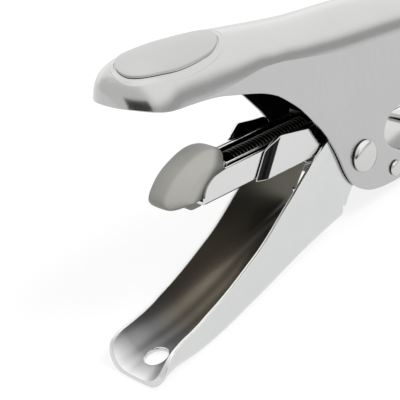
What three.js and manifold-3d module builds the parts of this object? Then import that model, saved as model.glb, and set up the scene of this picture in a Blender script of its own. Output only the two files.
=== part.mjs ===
// Stapling pliers: pressed steel handles, pull-out magazine and sprung jaws.
// Units are millimetres. The part is drawn in a working frame (x forward to
// the jaws, y left, z up, origin at the rear bottom of the magazine channel)
// and is then turned so that it stands on the lower handle's end and on the
// tip of the lower jaw.
import * as THREE from 'three';
import { mergeVertices } from 'three/addons/utils/BufferGeometryUtils.js';
import Module from 'manifold-3d';

const wasm = await Module();
wasm.setup();

// ------------------------------------------------------------ dimensions
const SHELL_T = 1.1;        // upper handle sheet
const SHELL_W = 12.8;       // upper handle half width
const PALM_W = 14.0;        // half width at the palm
const LEVER_T = 1.2;        // lower handle sheet
const LEVER_W = 11.3;       // lower handle half width
const SADDLE_W = 9.7;       // magazine saddle half width
const MAG_W = 7.5;          // magazine channel half width
const MAG_T = 1.0;          // magazine sheet
const MAG_H = 8.3;          // magazine wall height
const MAG_L = 112;          // magazine length
const RAIL_W = 5.4;         // follower rail half width
const RAIL_T = 0.8;
const RAIL_TOP = 8.6;
const PIVOT = [62, -6];     // main pin
const PIN_R = 2.7;
const BORE_R = 3.1;
const JAW_OPEN = 11.5 * Math.PI / 180;   // jaw opening at rest
const GAP = 0.3;            // clearance between neighbouring pieces
const CLOSED_ANVIL_Z = -0.6;

// ------------------------------------------------------------ helpers
const V = (x, y, z) => new THREE.Vector3(x, y, z);
function interp(table, x) {
  // monotone-ish cubic through the table's points
  const n = table.length;
  if (x <= table[0][0]) return table[0][1];
  if (x >= table[n - 1][0]) return table[n - 1][1];
  let i = 0;
  while (x > table[i + 1][0]) i++;
  const [x0, y0] = table[i], [x1, y1] = table[i + 1];
  const d = (y1 - y0) / (x1 - x0);
  const m = (j) => {
    if (j === 0) return (table[1][1] - table[0][1]) / (table[1][0] - table[0][0]);
    if (j === n - 1) return (table[n - 1][1] - table[n - 2][1]) / (table[n - 1][0] - table[n - 2][0]);
    const a = (table[j][1] - table[j - 1][1]) / (table[j][0] - table[j - 1][0]);
    const b = (table[j + 1][1] - table[j][1]) / (table[j + 1][0] - table[j][0]);
    return a * b <= 0 ? 0 : 2 * a * b / (a + b);
  };
  const m0 = m(i), m1 = m(i + 1), h = x1 - x0, t = (x - x0) / h;
  const t2 = t * t, t3 = t2 * t;
  return (2 * t3 - 3 * t2 + 1) * y0 + (t3 - 2 * t2 + t) * h * m0 +
    (-2 * t3 + 3 * t2) * y1 + (t3 - t2) * h * m1 + 0 * d;
}
function solid(geometry) {
  const g = geometry.clone();
  g.deleteAttribute('normal');
  g.deleteAttribute('uv');
  const m = mergeVertices(g, 1e-4);
  const index = Uint32Array.from(m.index.array);
  return new wasm.Manifold(new wasm.Mesh({
    numProp: 3,
    vertProperties: Float32Array.from(m.attributes.position.array),
    triVerts: index,
  }));
}
function geometryOf(manifold) {
  const mesh = manifold.getMesh();
  const g = new THREE.BufferGeometry();
  g.setAttribute('position', new THREE.BufferAttribute(Float32Array.from(mesh.vertProperties), 3));
  g.setIndex(new THREE.BufferAttribute(Uint32Array.from(mesh.triVerts), 1));
  return g;
}
function shapeOf(points) {
  const s = new THREE.Shape();
  points.forEach(([a, b], i) => (i ? s.lineTo(a, b) : s.moveTo(a, b)));
  s.closePath();
  return s;
}
function prismY(points, y0, y1) {
  const g = new THREE.ExtrudeGeometry(shapeOf(points), { depth: y1 - y0, bevelEnabled: false, steps: 1 });
  g.rotateX(Math.PI / 2);
  g.translate(0, y1, 0);
  return g;
}
function prismZ(points, z0, z1) {
  const g = new THREE.ExtrudeGeometry(shapeOf(points), { depth: z1 - z0, bevelEnabled: false, steps: 1 });
  g.translate(0, 0, z0);
  return g;
}
function prismX(points, x0, x1) {
  // points are (y, z)
  const g = new THREE.ExtrudeGeometry(shapeOf(points), { depth: x1 - x0, bevelEnabled: false, steps: 1 });
  g.rotateX(Math.PI / 2);
  g.rotateZ(Math.PI / 2);
  g.translate(x0, 0, 0);
  return g;
}
function box(x0, x1, y0, y1, z0, z1) {
  const g = new THREE.BoxGeometry(x1 - x0, y1 - y0, z1 - z0);
  g.translate((x0 + x1) / 2, (y0 + y1) / 2, (z0 + z1) / 2);
  return g;
}
function cylY(x, z, r, y0, y1, seg = 24) {
  const g = new THREE.CylinderGeometry(r, r, y1 - y0, seg);
  g.translate(x, (y0 + y1) / 2, z);
  return g;
}
function cylX(y, z, r, x0, x1, seg = 12) {
  const g = new THREE.CylinderGeometry(r, r, x1 - x0, seg);
  g.rotateZ(Math.PI / 2);
  g.translate((x0 + x1) / 2, y, z);
  return g;
}
function latheY(profile, x, z, seg = 24) {
  // profile of [radius, y], starting and ending on the axis
  const g = new THREE.LatheGeometry(profile.map(([r, y]) => new THREE.Vector2(r, y)), seg);
  g.translate(x, 0, z);
  return g;
}
function outward(g) {
  // turns the faces out if the signed volume is negative
  const p = g.attributes.position, ix = g.index;
  let v = 0;
  const a = V(), b = V(), c = V();
  for (let i = 0; i < ix.count; i += 3) {
    a.fromBufferAttribute(p, ix.getX(i));
    b.fromBufferAttribute(p, ix.getX(i + 1));
    c.fromBufferAttribute(p, ix.getX(i + 2));
    v += a.dot(b.cross(c));
  }
  if (v < 0) {
    const arr = ix.array;
    for (let i = 0; i < arr.length; i += 3) { const t = arr[i + 1]; arr[i + 1] = arr[i + 2]; arr[i + 2] = t; }
  }
  return g;
}
function loft(rings) {
  const n = rings[0].length, pos = [], idx = [];
  rings.forEach((r) => r.forEach((p) => pos.push(...p)));
  for (let i = 0; i + 1 < rings.length; i++) {
    for (let j = 0; j < n; j++) {
      const k = (j + 1) % n, a = i * n + j, b = i * n + k, c = (i + 1) * n + j, d = (i + 1) * n + k;
      idx.push(a, b, d, a, d, c);
    }
  }
  for (const [row, flip] of [[0, true], [rings.length - 1, false]]) {
    const ring = rings[row], c = [0, 0, 0];
    ring.forEach((p) => { c[0] += p[0] / n; c[1] += p[1] / n; c[2] += p[2] / n; });
    const ci = pos.length / 3;
    pos.push(...c);
    for (let j = 0; j < n; j++) {
      const a = row * n + j, b = row * n + (j + 1) % n;
      if (flip) idx.push(ci, b, a); else idx.push(ci, a, b);
    }
  }
  const g = new THREE.BufferGeometry();
  g.setAttribute('position', new THREE.BufferAttribute(new Float32Array(pos), 3));
  g.setIndex(idx);
  return outward(g);
}
class PointCurve extends THREE.Curve {
  constructor(fn) { super(); this.fn = fn; }
  getPoint(t, target = new THREE.Vector3()) { return target.copy(this.fn(t)); }
}
function wire(curve, r, steps, sides) {
  const pts = [];
  for (let i = 0; i < sides; i++) {
    const a = i / sides * Math.PI * 2;
    pts.push([r * Math.cos(a), r * Math.sin(a)]);
  }
  const g = new THREE.ExtrudeGeometry(shapeOf(pts), { steps, bevelEnabled: false, extrudePath: curve });
  return geometryOf(solid(g));
}
const nodes = [];
function node(name, geometry, color, roughness, metalness) {
  const m = new THREE.Mesh(geometry, new THREE.MeshStandardMaterial({ color, roughness, metalness }));
  m.name = name;
  nodes.push(m);
  return m;
}

// ------------------------------------------------------------ upper handle
const CROWN = [[-24.6, 41.2], [-24.0, 43.2], [-22.6, 45.0], [-20.4, 46.5], [-17.5, 47.6], [-13.5, 48.3], [-9, 48.6],
  [-4, 48.6], [2, 48.2], [8.5, 47.6], [16, 46.6], [20, 45.9], [27.7, 44.6], [33.6, 43.9], [39.7, 42.7],
  [46, 41.9], [52.4, 41.4], [61.3, 40.9], [68, 40.4], [80, 39], [92, 37], [102, 34.8], [112, 31.8], [119, 28.6], [123, 25], [124, 22]];
const CREASE = [[-24.6, 40], [-21, 37.4], [-17, 36.2], [-9, 35.8], [-1.6, 35.4], [6, 35.8], [14, 36.4], [22, 36.7],
  [30, 36.1], [38, 34.9], [53, 32.4], [65, 31.2], [85, 29.4], [100, 27.4], [112, 25], [119, 22], [124, 17]];
const HALF = [[-12, PALM_W], [2, PALM_W], [14, 13.6], [28, SHELL_W], [124, SHELL_W]];
const REAR = -24.6, REAR_L = 15, FRONT = 124, FRONT_L = 12;
function shellHalf(x, d) {
  let w = interp(HALF, x) - d;
  const r0 = REAR + d, r1 = REAR + REAR_L;
  if (x < r1) w *= Math.pow(Math.max(0, 1 - Math.pow((r1 - x) / (r1 - r0), 2.05)), 1 / 2.05);
  const f0 = FRONT - FRONT_L, f1 = FRONT - d;
  if (x > f0) w *= Math.pow(Math.max(0, 1 - Math.pow((x - f0) / (f1 - f0), 3.4)), 1 / 3.4);
  return Math.max(w, 0.15);
}
function shellRing(x, d, zlow, cuts = 12) {
  const rearK = Math.max(0, Math.min(1, (-12 - x) / 9)), frontK = Math.max(0, Math.min(1, (x - 112) / 8));
  const xs = x - d * rearK + d * frontK;
  const zc = interp(CROWN, xs) - d * (1 - 0.35 * rearK), zk = Math.min(interp(CREASE, xs), zc - 0.4);
  const w = shellHalf(x, d), n = 2.25, ring = [];
  ring.push([x, -w, zlow]);
  for (let i = 0; i <= cuts; i++) {
    const a = Math.PI * (1 - i / cuts), c = Math.cos(a), s = Math.sin(a);
    ring.push([x, Math.sign(c) * Math.pow(Math.abs(c), 2 / n) * w, zk + Math.pow(Math.abs(s), 2 / n) * (zc - zk)]);
  }
  ring.push([x, w, zlow]);
  return ring;
}
function shellSolid(d, zlow, stations) {
  const a = REAR + d, b = FRONT - d;
  const xs = stations.filter((x) => x > a + 0.15 && x < b - 0.15);
  xs.unshift(a + 0.02);
  xs.push(b - 0.02);
  return solid(loft(xs.map((x) => shellRing(x, d, zlow))));
}
const STATIONS = [-24.2, -23.4, -22.2, -20.2, -17.6, -14, -9.5, -4, 2, 10, 18, 25, 32, 39, 47, 58, 70, 84, 97, 107, 113, 118, 121.3, 123.2];
const EDGE = [[-40, 40.4], [-25, 39.9], [-23, 38.0], [-20.6, 36.4], [-17.4, 35.0], [-13.2, 34.1], [-6.7, 33.8], [-1.9, 33.3], [5.5, 32.7],
  [11.1, 31.2], [18.7, 29.1], [24.5, 26.9], [28.3, 24.8], [32.1, 21.9], [36, 18.5], [39.8, 14.3], [43.7, 9.7], [46.7, 5.4], [49.4, 0.8],
  [51.6, -4], [53.6, -9], [56.3, -13.6], [60.5, -17], [66, -19.2], [78, -20], [88, -18.6], [91, -16.6], [90, -13.8], [85, -12.2], [78.5, -10],
  [74, -6.6], [72.4, -2.6], [74.5, 2], [81, 4.8], [94, 6.4], [108, 7.4], [116, 9.4], [121, 13.5], [130, 15], [130, -60], [-40, -60]];
// palm oval: egg-shaped in plan, broad end forward, turned a little
const OVAL_C = 4.72, OVAL_REAR = 25.8, OVAL_FRONT = 11.04, OVAL_B = 10.52, OVAL_TURN = 9 * Math.PI / 180;
const oval = (grow, k = 36) => Array.from({ length: k }, (_, i) => {
  const a = i / k * Math.PI * 2, n = 2.07;
  const u = Math.sign(Math.cos(a)) * Math.pow(Math.abs(Math.cos(a)), 2 / n) * ((Math.cos(a) > 0 ? OVAL_FRONT : OVAL_REAR) + grow);
  const v = Math.sign(Math.sin(a)) * Math.pow(Math.abs(Math.sin(a)), 2 / n) * (OVAL_B + grow);
  return [OVAL_C + u * Math.cos(OVAL_TURN) - v * Math.sin(OVAL_TURN), u * Math.sin(OVAL_TURN) + v * Math.cos(OVAL_TURN)];
});
const shellOuter = shellSolid(0, -60, STATIONS);
let shell = shellOuter.subtract(shellSolid(SHELL_T, -70, STATIONS));
shell = shell.subtract(solid(prismY(EDGE, -30, 30)));
const pocket = shellOuter.subtract(shellSolid(0.6, -70, STATIONS)).intersect(solid(prismZ(oval(GAP), 30, 60)));
shell = shell.subtract(pocket);
const ARM_RIVETS = [[76.5, -15.6], [85.5, -15.2]];
shell = shell.subtract(solid(cylY(PIVOT[0], PIVOT[1], BORE_R, -20, 20)));
for (const [x, z] of ARM_RIVETS) shell = shell.subtract(solid(cylY(x, z, 1.5, -20, 20, 12)));
node('upper_shell', geometryOf(shell), 0xc9cbc6, 0.34, 0.95);

let inlay = shellSolid(-0.2, -60, STATIONS).subtract(shellSolid(0.3, -70, STATIONS)).intersect(solid(prismZ(oval(0), 30, 60)));
node('palm_inlay', geometryOf(inlay), 0xc6c7c2, 0.4, 0.95);

// ------------------------------------------------------------ lower jaw
function atRest(x, z) {
  const dx = x - PIVOT[0], dz = z - PIVOT[1], c = Math.cos(JAW_OPEN), s = Math.sin(JAW_OPEN);
  return [PIVOT[0] + dx * c + dz * s, PIVOT[1] - dx * s + dz * c];
}
const ARM_W = 11.3, ARM_T = 1.3;
const armTop = [[70, -12.2], [80, -10.6], [90, -9.6], [95, -9.4], ...[[98, CLOSED_ANVIL_Z - 1.5], [114.6, CLOSED_ANVIL_Z - 1.5]].map(([x, z]) => atRest(x, z))];
const armBottom = [[70, -18.4], [78, -19.2], [90, -18.6], [104, -17.6], [112.4, -18.2], [115.2, -16.6]];
const armSide = [...armTop, ...armBottom.slice().reverse()];
const armPlan = (w0, w1, x0, x1) => [[x0, -w0], [88, -w0], [100, -w1], [x1 - 4, -w1], [x1, -w1 + 4], [x1, w1 - 4], [x1 - 4, w1], [100, w1], [88, w0], [x0, w0]];
let arm = solid(prismY(armSide, -ARM_W, ARM_W)).intersect(solid(prismZ(armPlan(ARM_W, 9.2, 60, 115.4), -40, 20)));
const armInner = armTop.map(([x, z]) => [x, z - ARM_T]);
armInner[0][0] = 60;
arm = arm.subtract(solid(prismY([...armInner, [114, -40], [60, -40]], -20, 20)).intersect(
  solid(prismZ(armPlan(ARM_W - ARM_T, 9.2 - ARM_T, 60, 115.4 - ARM_T), -60, 20))));
for (const [x, z] of ARM_RIVETS) arm = arm.subtract(solid(cylY(x, z, 1.5, -20, 20, 12)));
const anvilX = [101, 107];
for (const x of anvilX) {
  const c = new THREE.CylinderGeometry(1.3, 1.3, 12, 12);
  c.rotateX(Math.PI / 2);
  c.rotateY(JAW_OPEN);
  const [px, pz] = atRest(x, CLOSED_ANVIL_Z);
  c.translate(px, 0, pz);
  arm = arm.subtract(solid(c));
}
node('anvil_arm', geometryOf(arm), 0xcfd1cd, 0.3, 0.95);

function tilt(g) {
  // drawn level under the closed magazine, turned to the open jaw
  g.translate(-PIVOT[0], 0, -PIVOT[1]);
  g.rotateY(JAW_OPEN);
  g.translate(PIVOT[0], 0, PIVOT[1]);
  return g;
}
let anvil = solid(box(97.4, 114.2, -7.4, 7.4, CLOSED_ANVIL_Z - 1.2, CLOSED_ANVIL_Z));
for (const s of [-1, 1]) {
  const groove = prismX([[s * 6.6, CLOSED_ANVIL_Z + 0.4], [s * 6.4, CLOSED_ANVIL_Z - 0.5], [s * 4.4, CLOSED_ANVIL_Z - 0.75], [s * 2.2, CLOSED_ANVIL_Z - 0.45], [s * 1.2, CLOSED_ANVIL_Z + 0.4]].slice()[s < 0 ? 'reverse' : 'slice'](), 110.3, 112.2);
  anvil = anvil.subtract(solid(groove));
}
for (const x of anvilX) {
  const c = new THREE.CylinderGeometry(1.3, 1.3, 6, 12);
  c.rotateX(Math.PI / 2);
  c.translate(x, 0, CLOSED_ANVIL_Z);
  anvil = anvil.subtract(solid(c));
}
node('anvil_plate', tilt(geometryOf(anvil)), 0xd6d7d5, 0.22, 0.97);
anvilX.forEach((x, i) => {
  const g = new THREE.LatheGeometry([[0, -4.6], [1.4, -4.5], [2.1, -4.1], [2.1, -3.8], [1.0, -3.75], [1.0, -0.65], [0, -0.65]].map(([r, z]) => new THREE.Vector2(r, z)), 14);
  g.rotateX(Math.PI / 2);
  g.translate(x, 0, 0);
  node(`anvil_rivet_${i ? 'front' : 'rear'}`, tilt(g), 0xcdcecb, 0.3, 0.97);
});

// ------------------------------------------------------------ main pin and rivets
node('pivot_pin', latheY([[0, -15.2], [2.6, -15.1], [4.6, -14.5], [5.2, -13.7], [5.2, -13.2], [PIN_R, -13.1], [PIN_R, 13.1], [5.2, 13.2], [5.2, 13.7], [4.6, 14.5], [2.6, 15.1], [0, 15.2]], PIVOT[0], PIVOT[1]), 0xd2d3d1, 0.25, 0.97);
ARM_RIVETS.forEach(([x, z], i) => {
  for (const [side, s] of [['right', -1], ['left', 1]]) {
    const prof = [[0, 8.6], [2.0, 8.7], [2.0, 9.6], [1.2, 9.7], [1.2, 13.1], [2.6, 13.1], [2.4, 13.7], [1.5, 14.1], [0, 14.2]];
    const g = latheY(s > 0 ? prof : prof.map(([r, y]) => [r, -y]).reverse(), x, z, 14);
    node(`arm_rivet_${side}_${i ? 'front' : 'rear'}`, g, 0xcdcecb, 0.3, 0.97);
  }
});

// compression spring that lifts the magazine off the lower jaw
const liftX = 75.2, liftZ0 = -10.0, liftZ1 = -0.95;
node('lift_spring', wire(new PointCurve((t) => {
  const a = t * Math.PI * 2 * 5;
  return V(liftX + 2.6 * Math.cos(a), 2.6 * Math.sin(a), liftZ0 + (liftZ1 - liftZ0) * Math.min(1, Math.max(0, (t - 0.06) / 0.88)));
}), 0.42, 55, 5), 0xb9bab8, 0.3, 0.95);

// ------------------------------------------------------------ magazine
// channel: floor and two walls, rounded rear top corners, floor open at the nose
const chSide = [[0, 0], [0, 2.4], [1.1, 4.7], [3.0, 6.5], [5.1, 7.6], [7.5, 8.0], [10, MAG_H], [MAG_L, MAG_H], [MAG_L, 0]];
let channel = solid(prismY(chSide, -MAG_W, MAG_W));
channel = channel.subtract(solid(box(-5, 130, -MAG_W + MAG_T, MAG_W - MAG_T, MAG_T, 20)));
channel = channel.subtract(solid(box(MAG_L - 2.0, 130, -MAG_W + MAG_T, MAG_W - MAG_T, -5, 20)));
node('magazine_channel', geometryOf(channel), 0xdcdcda, 0.16, 1.0);

// saddle: stepped side ears, floor under the channel and pivot lugs
const SAD_T = 1.2;
const earPlan = (s) => {
  const o = SADDLE_W, i = SADDLE_W - SAD_T, n = MAG_W + GAP;
  const outer = [[19.0, n + 0.35], [21.0, n + 0.5], [22.8, n + 0.95], [24.2, n + 1.55], [25.6, o - 0.1], [27.2, o], [76, o]];
  const inner = [[19.0, n], [21.6, n + 0.02], [23.4, n + 0.14], [25.6, i - 0.1], [27.2, i], [76, i]];
  const pts = [...inner, ...outer.slice().reverse()].map(([x, y]) => [x, s * y]);
  return s > 0 ? pts.reverse() : pts;
};
const earSide = [[19.0, 0], [23.2, 0.02], [30.2, 11.6], [42.4, 9.5], [45.8, 3.4], [47.5, 2.4], [60, 2.2], [70, 0.6], [71, -3],
  [69.5, -8.5], [66, -12], [62, -13], [58, -12], [54.5, -8.5], [53.5, -3.4], [51.8, -GAP - 1.2], [45.0, -GAP - 1.2], [44.0, 0]];
let saddle = null;
for (const s of [-1, 1]) {
  const ear = solid(prismZ(earPlan(s), -20, 20)).intersect(solid(prismY(earSide, -20, 20)));
  saddle = saddle ? saddle.add(ear) : ear;
}
saddle = saddle.add(solid(box(45.6, 51.6, -SADDLE_W + 0.6, SADDLE_W - 0.6, -GAP - 1.2, -GAP)));
saddle = saddle.subtract(solid(cylY(PIVOT[0], PIVOT[1], BORE_R, -20, 20)));
node('magazine_saddle', geometryOf(saddle), 0xd4d5d3, 0.2, 1.0);

// nose plate that closes the front and guides the blade
let nose = solid(box(MAG_L + GAP, MAG_L + GAP + 1.1, -MAG_W, MAG_W, 0, 12.0));
nose = nose.add(solid(box(MAG_L - 6, MAG_L + 1, -MAG_W, -MAG_W + 0.7, MAG_H + GAP, 12.0)));
nose = nose.add(solid(box(MAG_L - 6, MAG_L + 1, MAG_W - 0.7, MAG_W, MAG_H + GAP, 12.0)));
node('nose_plate', geometryOf(nose), 0xd0d1cf, 0.25, 0.97);

// glued staples, legs down, straddling the follower rail
let staples = solid(box(58.4, 109.2, -6.2, 6.2, 1.6, 9.5));
staples = staples.subtract(solid(box(50, 120, -5.7, 5.7, 0, RAIL_TOP + GAP)));
node('staple_strip', geometryOf(staples), 0xc3c5c6, 0.35, 0.9);

// torsion spring on the main pin, one leg on the magazine and one on the lower handle
const rsR = 3.85;
node('return_spring', wire(new PointCurve((t) => {
  const turns = 4.75;
  if (t < 0.14) {
    // rear leg comes up from the lower handle's floor
    const k = t / 0.14;
    const p0 = V(48.2, -5.2, -20.6), p1 = V(PIVOT[0] - rsR * 0.82, -5.2, PIVOT[1] - rsR * 0.57);
    return p0.lerp(p1, k);
  }
  if (t > 0.9) {
    const k = (t - 0.9) / 0.1;
    const p0 = V(PIVOT[0] + rsR * 0.2, 5.2, PIVOT[1] + rsR * 0.98), p1 = V(PIVOT[0] + 8.2, 5.2, -1.05);
    return p0.lerp(p1, k);
  }
  const k = (t - 0.14) / 0.76, a0 = Math.PI + 0.607, a1 = -turns * Math.PI * 2 + Math.PI + 0.607;
  const target = Math.atan2(0.98, 0.2);
  let end = a1 - ((a1 - target) % (Math.PI * 2));
  const a = a0 + (end - a0) * k;
  return V(PIVOT[0] + rsR * Math.cos(a), -5.2 + 10.4 * k, PIVOT[1] + rsR * Math.sin(a));
}), 0.55, 76, 6), 0xb2b3b2, 0.3, 0.95);

// ------------------------------------------------------------ lower handle
const FLOOR = [[-29.5, -46.7], [-25, -45.4], [-21.7, -44.5], [-15.6, -43.3], [-9.6, -42.5], [-1.1, -40.7], [7.7, -38.1], [16.7, -35.4],
  [25.8, -32.4], [35.2, -29.4], [44.7, -26.9], [52, -25.2], [60, -24]];
const FLARE = [[-29.5, 13.5], [-26, 13.0], [-22, 12.2], [-17, 11.5], [-11, LEVER_W], [130, LEVER_W]];
function troughRing(x, d, ztop) {
  const zf = interp(FLOOR, x) + d * 1.04, w = interp(FLARE, x) - d, r = 4.4 - d, ring = [[x, -w, ztop]];
  for (let i = 0; i <= 5; i++) {
    const a = Math.PI + i / 5 * Math.PI / 2;
    ring.push([x, -w + r + r * Math.cos(a), zf + r + r * Math.sin(a)]);
  }
  for (let i = 0; i <= 5; i++) {
    const a = -Math.PI / 2 + i / 5 * Math.PI / 2;
    ring.push([x, w - r + r * Math.cos(a), zf + r + r * Math.sin(a)]);
  }
  ring.push([x, w, ztop]);
  return ring;
}
const TX = [-29.5, -27, -25, -22, -18, -12, -4, 5, 14, 24, 34, 44, 52.4];
let trough = solid(loft(TX.map((x) => troughRing(x, 0, 30))));
trough = trough.subtract(solid(loft([-33, ...TX, 58].map((x) => troughRing(Math.max(-33, x), LEVER_T, 40)))));
const RIM = [[-30.5, -60], [-28.3, -45.5], [-27.7, -42.4], [-26.7, -39.8], [-25.0, -37.7], [-22.4, -36.1], [-19.6, -35.2], [-15.5, -34.1], [-11.4, -32.8], [-7.1, -31.0], [-2.8, -29.3],
  [1.6, -27.3], [6, -25.1], [10.6, -22.6], [16, -19.6], [20.7, -16.4], [26.1, -12.2], [31.8, -8.0], [38.2, -3.1], [43.9, 0.7], [48.3, 3.6], [54, 7.0],
  [62, 10], [72, 14], [85, 20], [96, 25.4], [104, 27.2], [109.4, 27.0], [111, 25], [110.2, 23.0], [104, 21.6], [92, 17], [80, 9.8], [72.6, 3.4], [69.9, -2.2]];
for (let i = 1; i <= 6; i++) {
  const a = 0.35 - i / 6 * 2.3;
  RIM.push([PIVOT[0] + 8 * Math.cos(a), PIVOT[1] + 8 * Math.sin(a)]);
}
RIM.push([55.5, -17.5], [53.4, -22], [52.6, -60]);
const side = solid(prismY(RIM, -20, 20));
// floor outline: the open end has rounded corners
const endPlan = [];
{
  const r = 4.6, xe = -28.8, w = 13.6;
  for (let i = 0; i <= 6; i++) { const a = Math.PI + i / 6 * Math.PI / 2; endPlan.push([xe + r + r * Math.cos(a), -w + r + r * Math.sin(a)]); }
  endPlan.push([53, -w], [53, w]);
  for (let i = 0; i <= 6; i++) { const a = Math.PI / 2 + i / 6 * Math.PI / 2; endPlan.push([xe + r + r * Math.cos(a), w - r + r * Math.sin(a)]); }
}
const floorOnly = trough.intersect(solid(prismY([...FLOOR.filter(([x]) => x <= 52).map(([x, z]) => [x, z + 4.0]).concat([[53, -21]]), [53, -60], [-33, -60], [-33, -43.0]], -20, 20)));
trough = trough.intersect(side).add(floorOnly).intersect(solid(prismZ(endPlan, -70, 60)));
for (const s of [-1, 1]) {
  const y0 = s > 0 ? LEVER_W - LEVER_T : -LEVER_W, y1 = y0 + LEVER_T;
  trough = trough.add(side.intersect(solid(box(40, 120, y0, y1, -24, 40))));
}
// press bar across the front of the cheeks
const BAR = [108, 25.6], BAR_R = 2.0;
trough = trough.add(solid(cylY(BAR[0], BAR[1], BAR_R, -LEVER_W + 0.4, LEVER_W - 0.4, 16)));
trough = trough.subtract(solid(cylY(PIVOT[0], PIVOT[1], BORE_R, -20, 20)));
// hanging hole in the floor
{
  const c = new THREE.CylinderGeometry(3.65, 3.65, 12, 28);
  c.rotateX(Math.PI / 2);
  c.rotateY(-15 * Math.PI / 180);
  c.translate(-19.7, 0.3, -42.9);
  trough = trough.subtract(solid(c));
}
node('lower_lever', geometryOf(trough), 0xcdd0cd, 0.26, 0.97);

// ------------------------------------------------------------ driver
let driver = solid(box(110.5, 111.4, -6.1, 6.1, 9.9, 22.6));
driver = driver.add(solid(box(105.6, 115.4, -5, 5, 22.2, 23.2)));
node('driver_blade', geometryOf(driver), 0xbfc0be, 0.25, 0.97);

// ------------------------------------------------------------ follower
// soft-edged plastic end cap between the channel walls, with a hook under the floor
const CAP = [[-12.3, 3.9], [-12.2, 6.0], [-11.4, 8.1], [-9.7, 10.3], [-7.2, 12.3], [-3.6, 13.8], [0.4, 14.8], [4.3, 14.9], [8.0, 14.1], [10.4, 12.7],
  [11.6, 10.9], [11.5, 9.4], [10.2, 7.6], [9.4, 5.2], [8.6, 3.2], [6.4, 2.0], [1.4, 1.5], [-3.0, 0.9], [-8.0, 0.8], [-11.0, 1.9]];
const capRings = [];
{
  const cx = 2.5, cz = 3.2;
  const half = [[0, 1.0], [2.0, 0.99], [3.4, 0.945], [4.3, 0.885], [5.2, 0.79], [5.9, 0.67], [6.2, 0.58]];
  const rows = [...half.slice(1).reverse().map(([y, k]) => [-y, k]), ...half];
  for (const [y, k] of rows) capRings.push(CAP.map(([x, z]) => [cx + (x - cx) * k, y, x > -1.5 ? Math.max(cz + (z - cz) * k, 1.35) : cz + (z - cz) * k]));
}
let cap = solid(loft(capRings));
cap = cap.add(solid(prismY([[-2.0, 4], [-1.9, -1.2], [-1.2, -2.3], [0, -2.7], [3.2, -2.7], [4.0, -2.2], [4.0, -1.4], [3.0, -0.6], [1.0, -GAP], [-GAP, -GAP], [-GAP, 4]], -1.6, 1.6)));
cap = cap.subtract(solid(box(-GAP, 30, -6.6, 6.6, -0.02 - GAP + 0.02, MAG_T + GAP)));
cap = cap.add(solid(box(4, 16.2, -4.2, 4.2, 2.7, 6.4)));
node('end_cap', geometryOf(cap), 0x9c9b93, 0.72, 0.0);

let rail = solid(box(11.2, 108.6, -RAIL_W, RAIL_W, MAG_T + GAP, RAIL_TOP));
rail = rail.subtract(solid(box(0, 120, -RAIL_W + RAIL_T, RAIL_W - RAIL_T, MAG_T + GAP + RAIL_T, 20)));
node('follower_rail', geometryOf(rail), 0xd2d3d2, 0.22, 1.0);
node('spring_rod', cylX(0, 5.0, 0.8, 16.5, 106.2, 10), 0xb8b9b8, 0.3, 0.95);
node('rod_stop', box(106.5, 107.8, -4.3, 4.3, 2.4, 8.2), 0xc0c1c0, 0.3, 0.95);
const fsTurns = 24;
node('follower_spring', wire(new PointCurve((t) => {
  const a = t * Math.PI * 2 * fsTurns;
  return V(17.0 + (49.4 - 17.0) * t, 3.2 * Math.cos(a), 5.75 + 3.2 * Math.sin(a));
}), 0.25, fsTurns * 10, 5), 0xb9b9b8, 0.28, 0.95);

let pusher = solid(box(50.2, 58.0, -6.1, 6.1, RAIL_TOP + GAP, 10.0));
for (const s of [-1, 1]) pusher = pusher.add(solid(s > 0 ? box(50.2, 58.0, 5.7, 6.1, 1.8, 10.0) : box(50.2, 58.0, -6.1, -5.7, 1.8, 10.0)));
pusher = pusher.add(solid(box(50.2, 57.0, -4.1, 4.1, 2.5, 9.4)));
pusher = pusher.subtract(solid(cylX(0, 5.0, 1.2, 40, 70, 12)));
node('pusher', geometryOf(pusher), 0xb4b5b4, 0.35, 0.9);

// ------------------------------------------------------------ stand it on its ground line
const rearFoot = [-28.6, -46.5], frontFoot = [112.4, -18.2];
const LEAN = Math.atan2(frontFoot[1] - rearFoot[1], frontFoot[0] - rearFoot[0]);
const group = new THREE.Group();
group.name = 'stapling_pliers';
const turn = new THREE.Matrix4().makeRotationY(LEAN);
const bounds = new THREE.Box3();
for (const m of nodes) {
  m.geometry.applyMatrix4(turn);
  m.geometry.computeBoundingBox();
  bounds.union(m.geometry.boundingBox);
}
const shift = V(-(bounds.min.x + bounds.max.x) / 2, 0, -bounds.min.z);
for (const m of nodes) {
  m.geometry.translate(shift.x, shift.y, shift.z);
  m.geometry.computeVertexNormals();
  group.add(m);
}

export default group;
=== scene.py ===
import bpy
import bmesh
import math
from mathutils import Vector, Matrix
from mathutils.geometry import delaunay_2d_cdt


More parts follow.
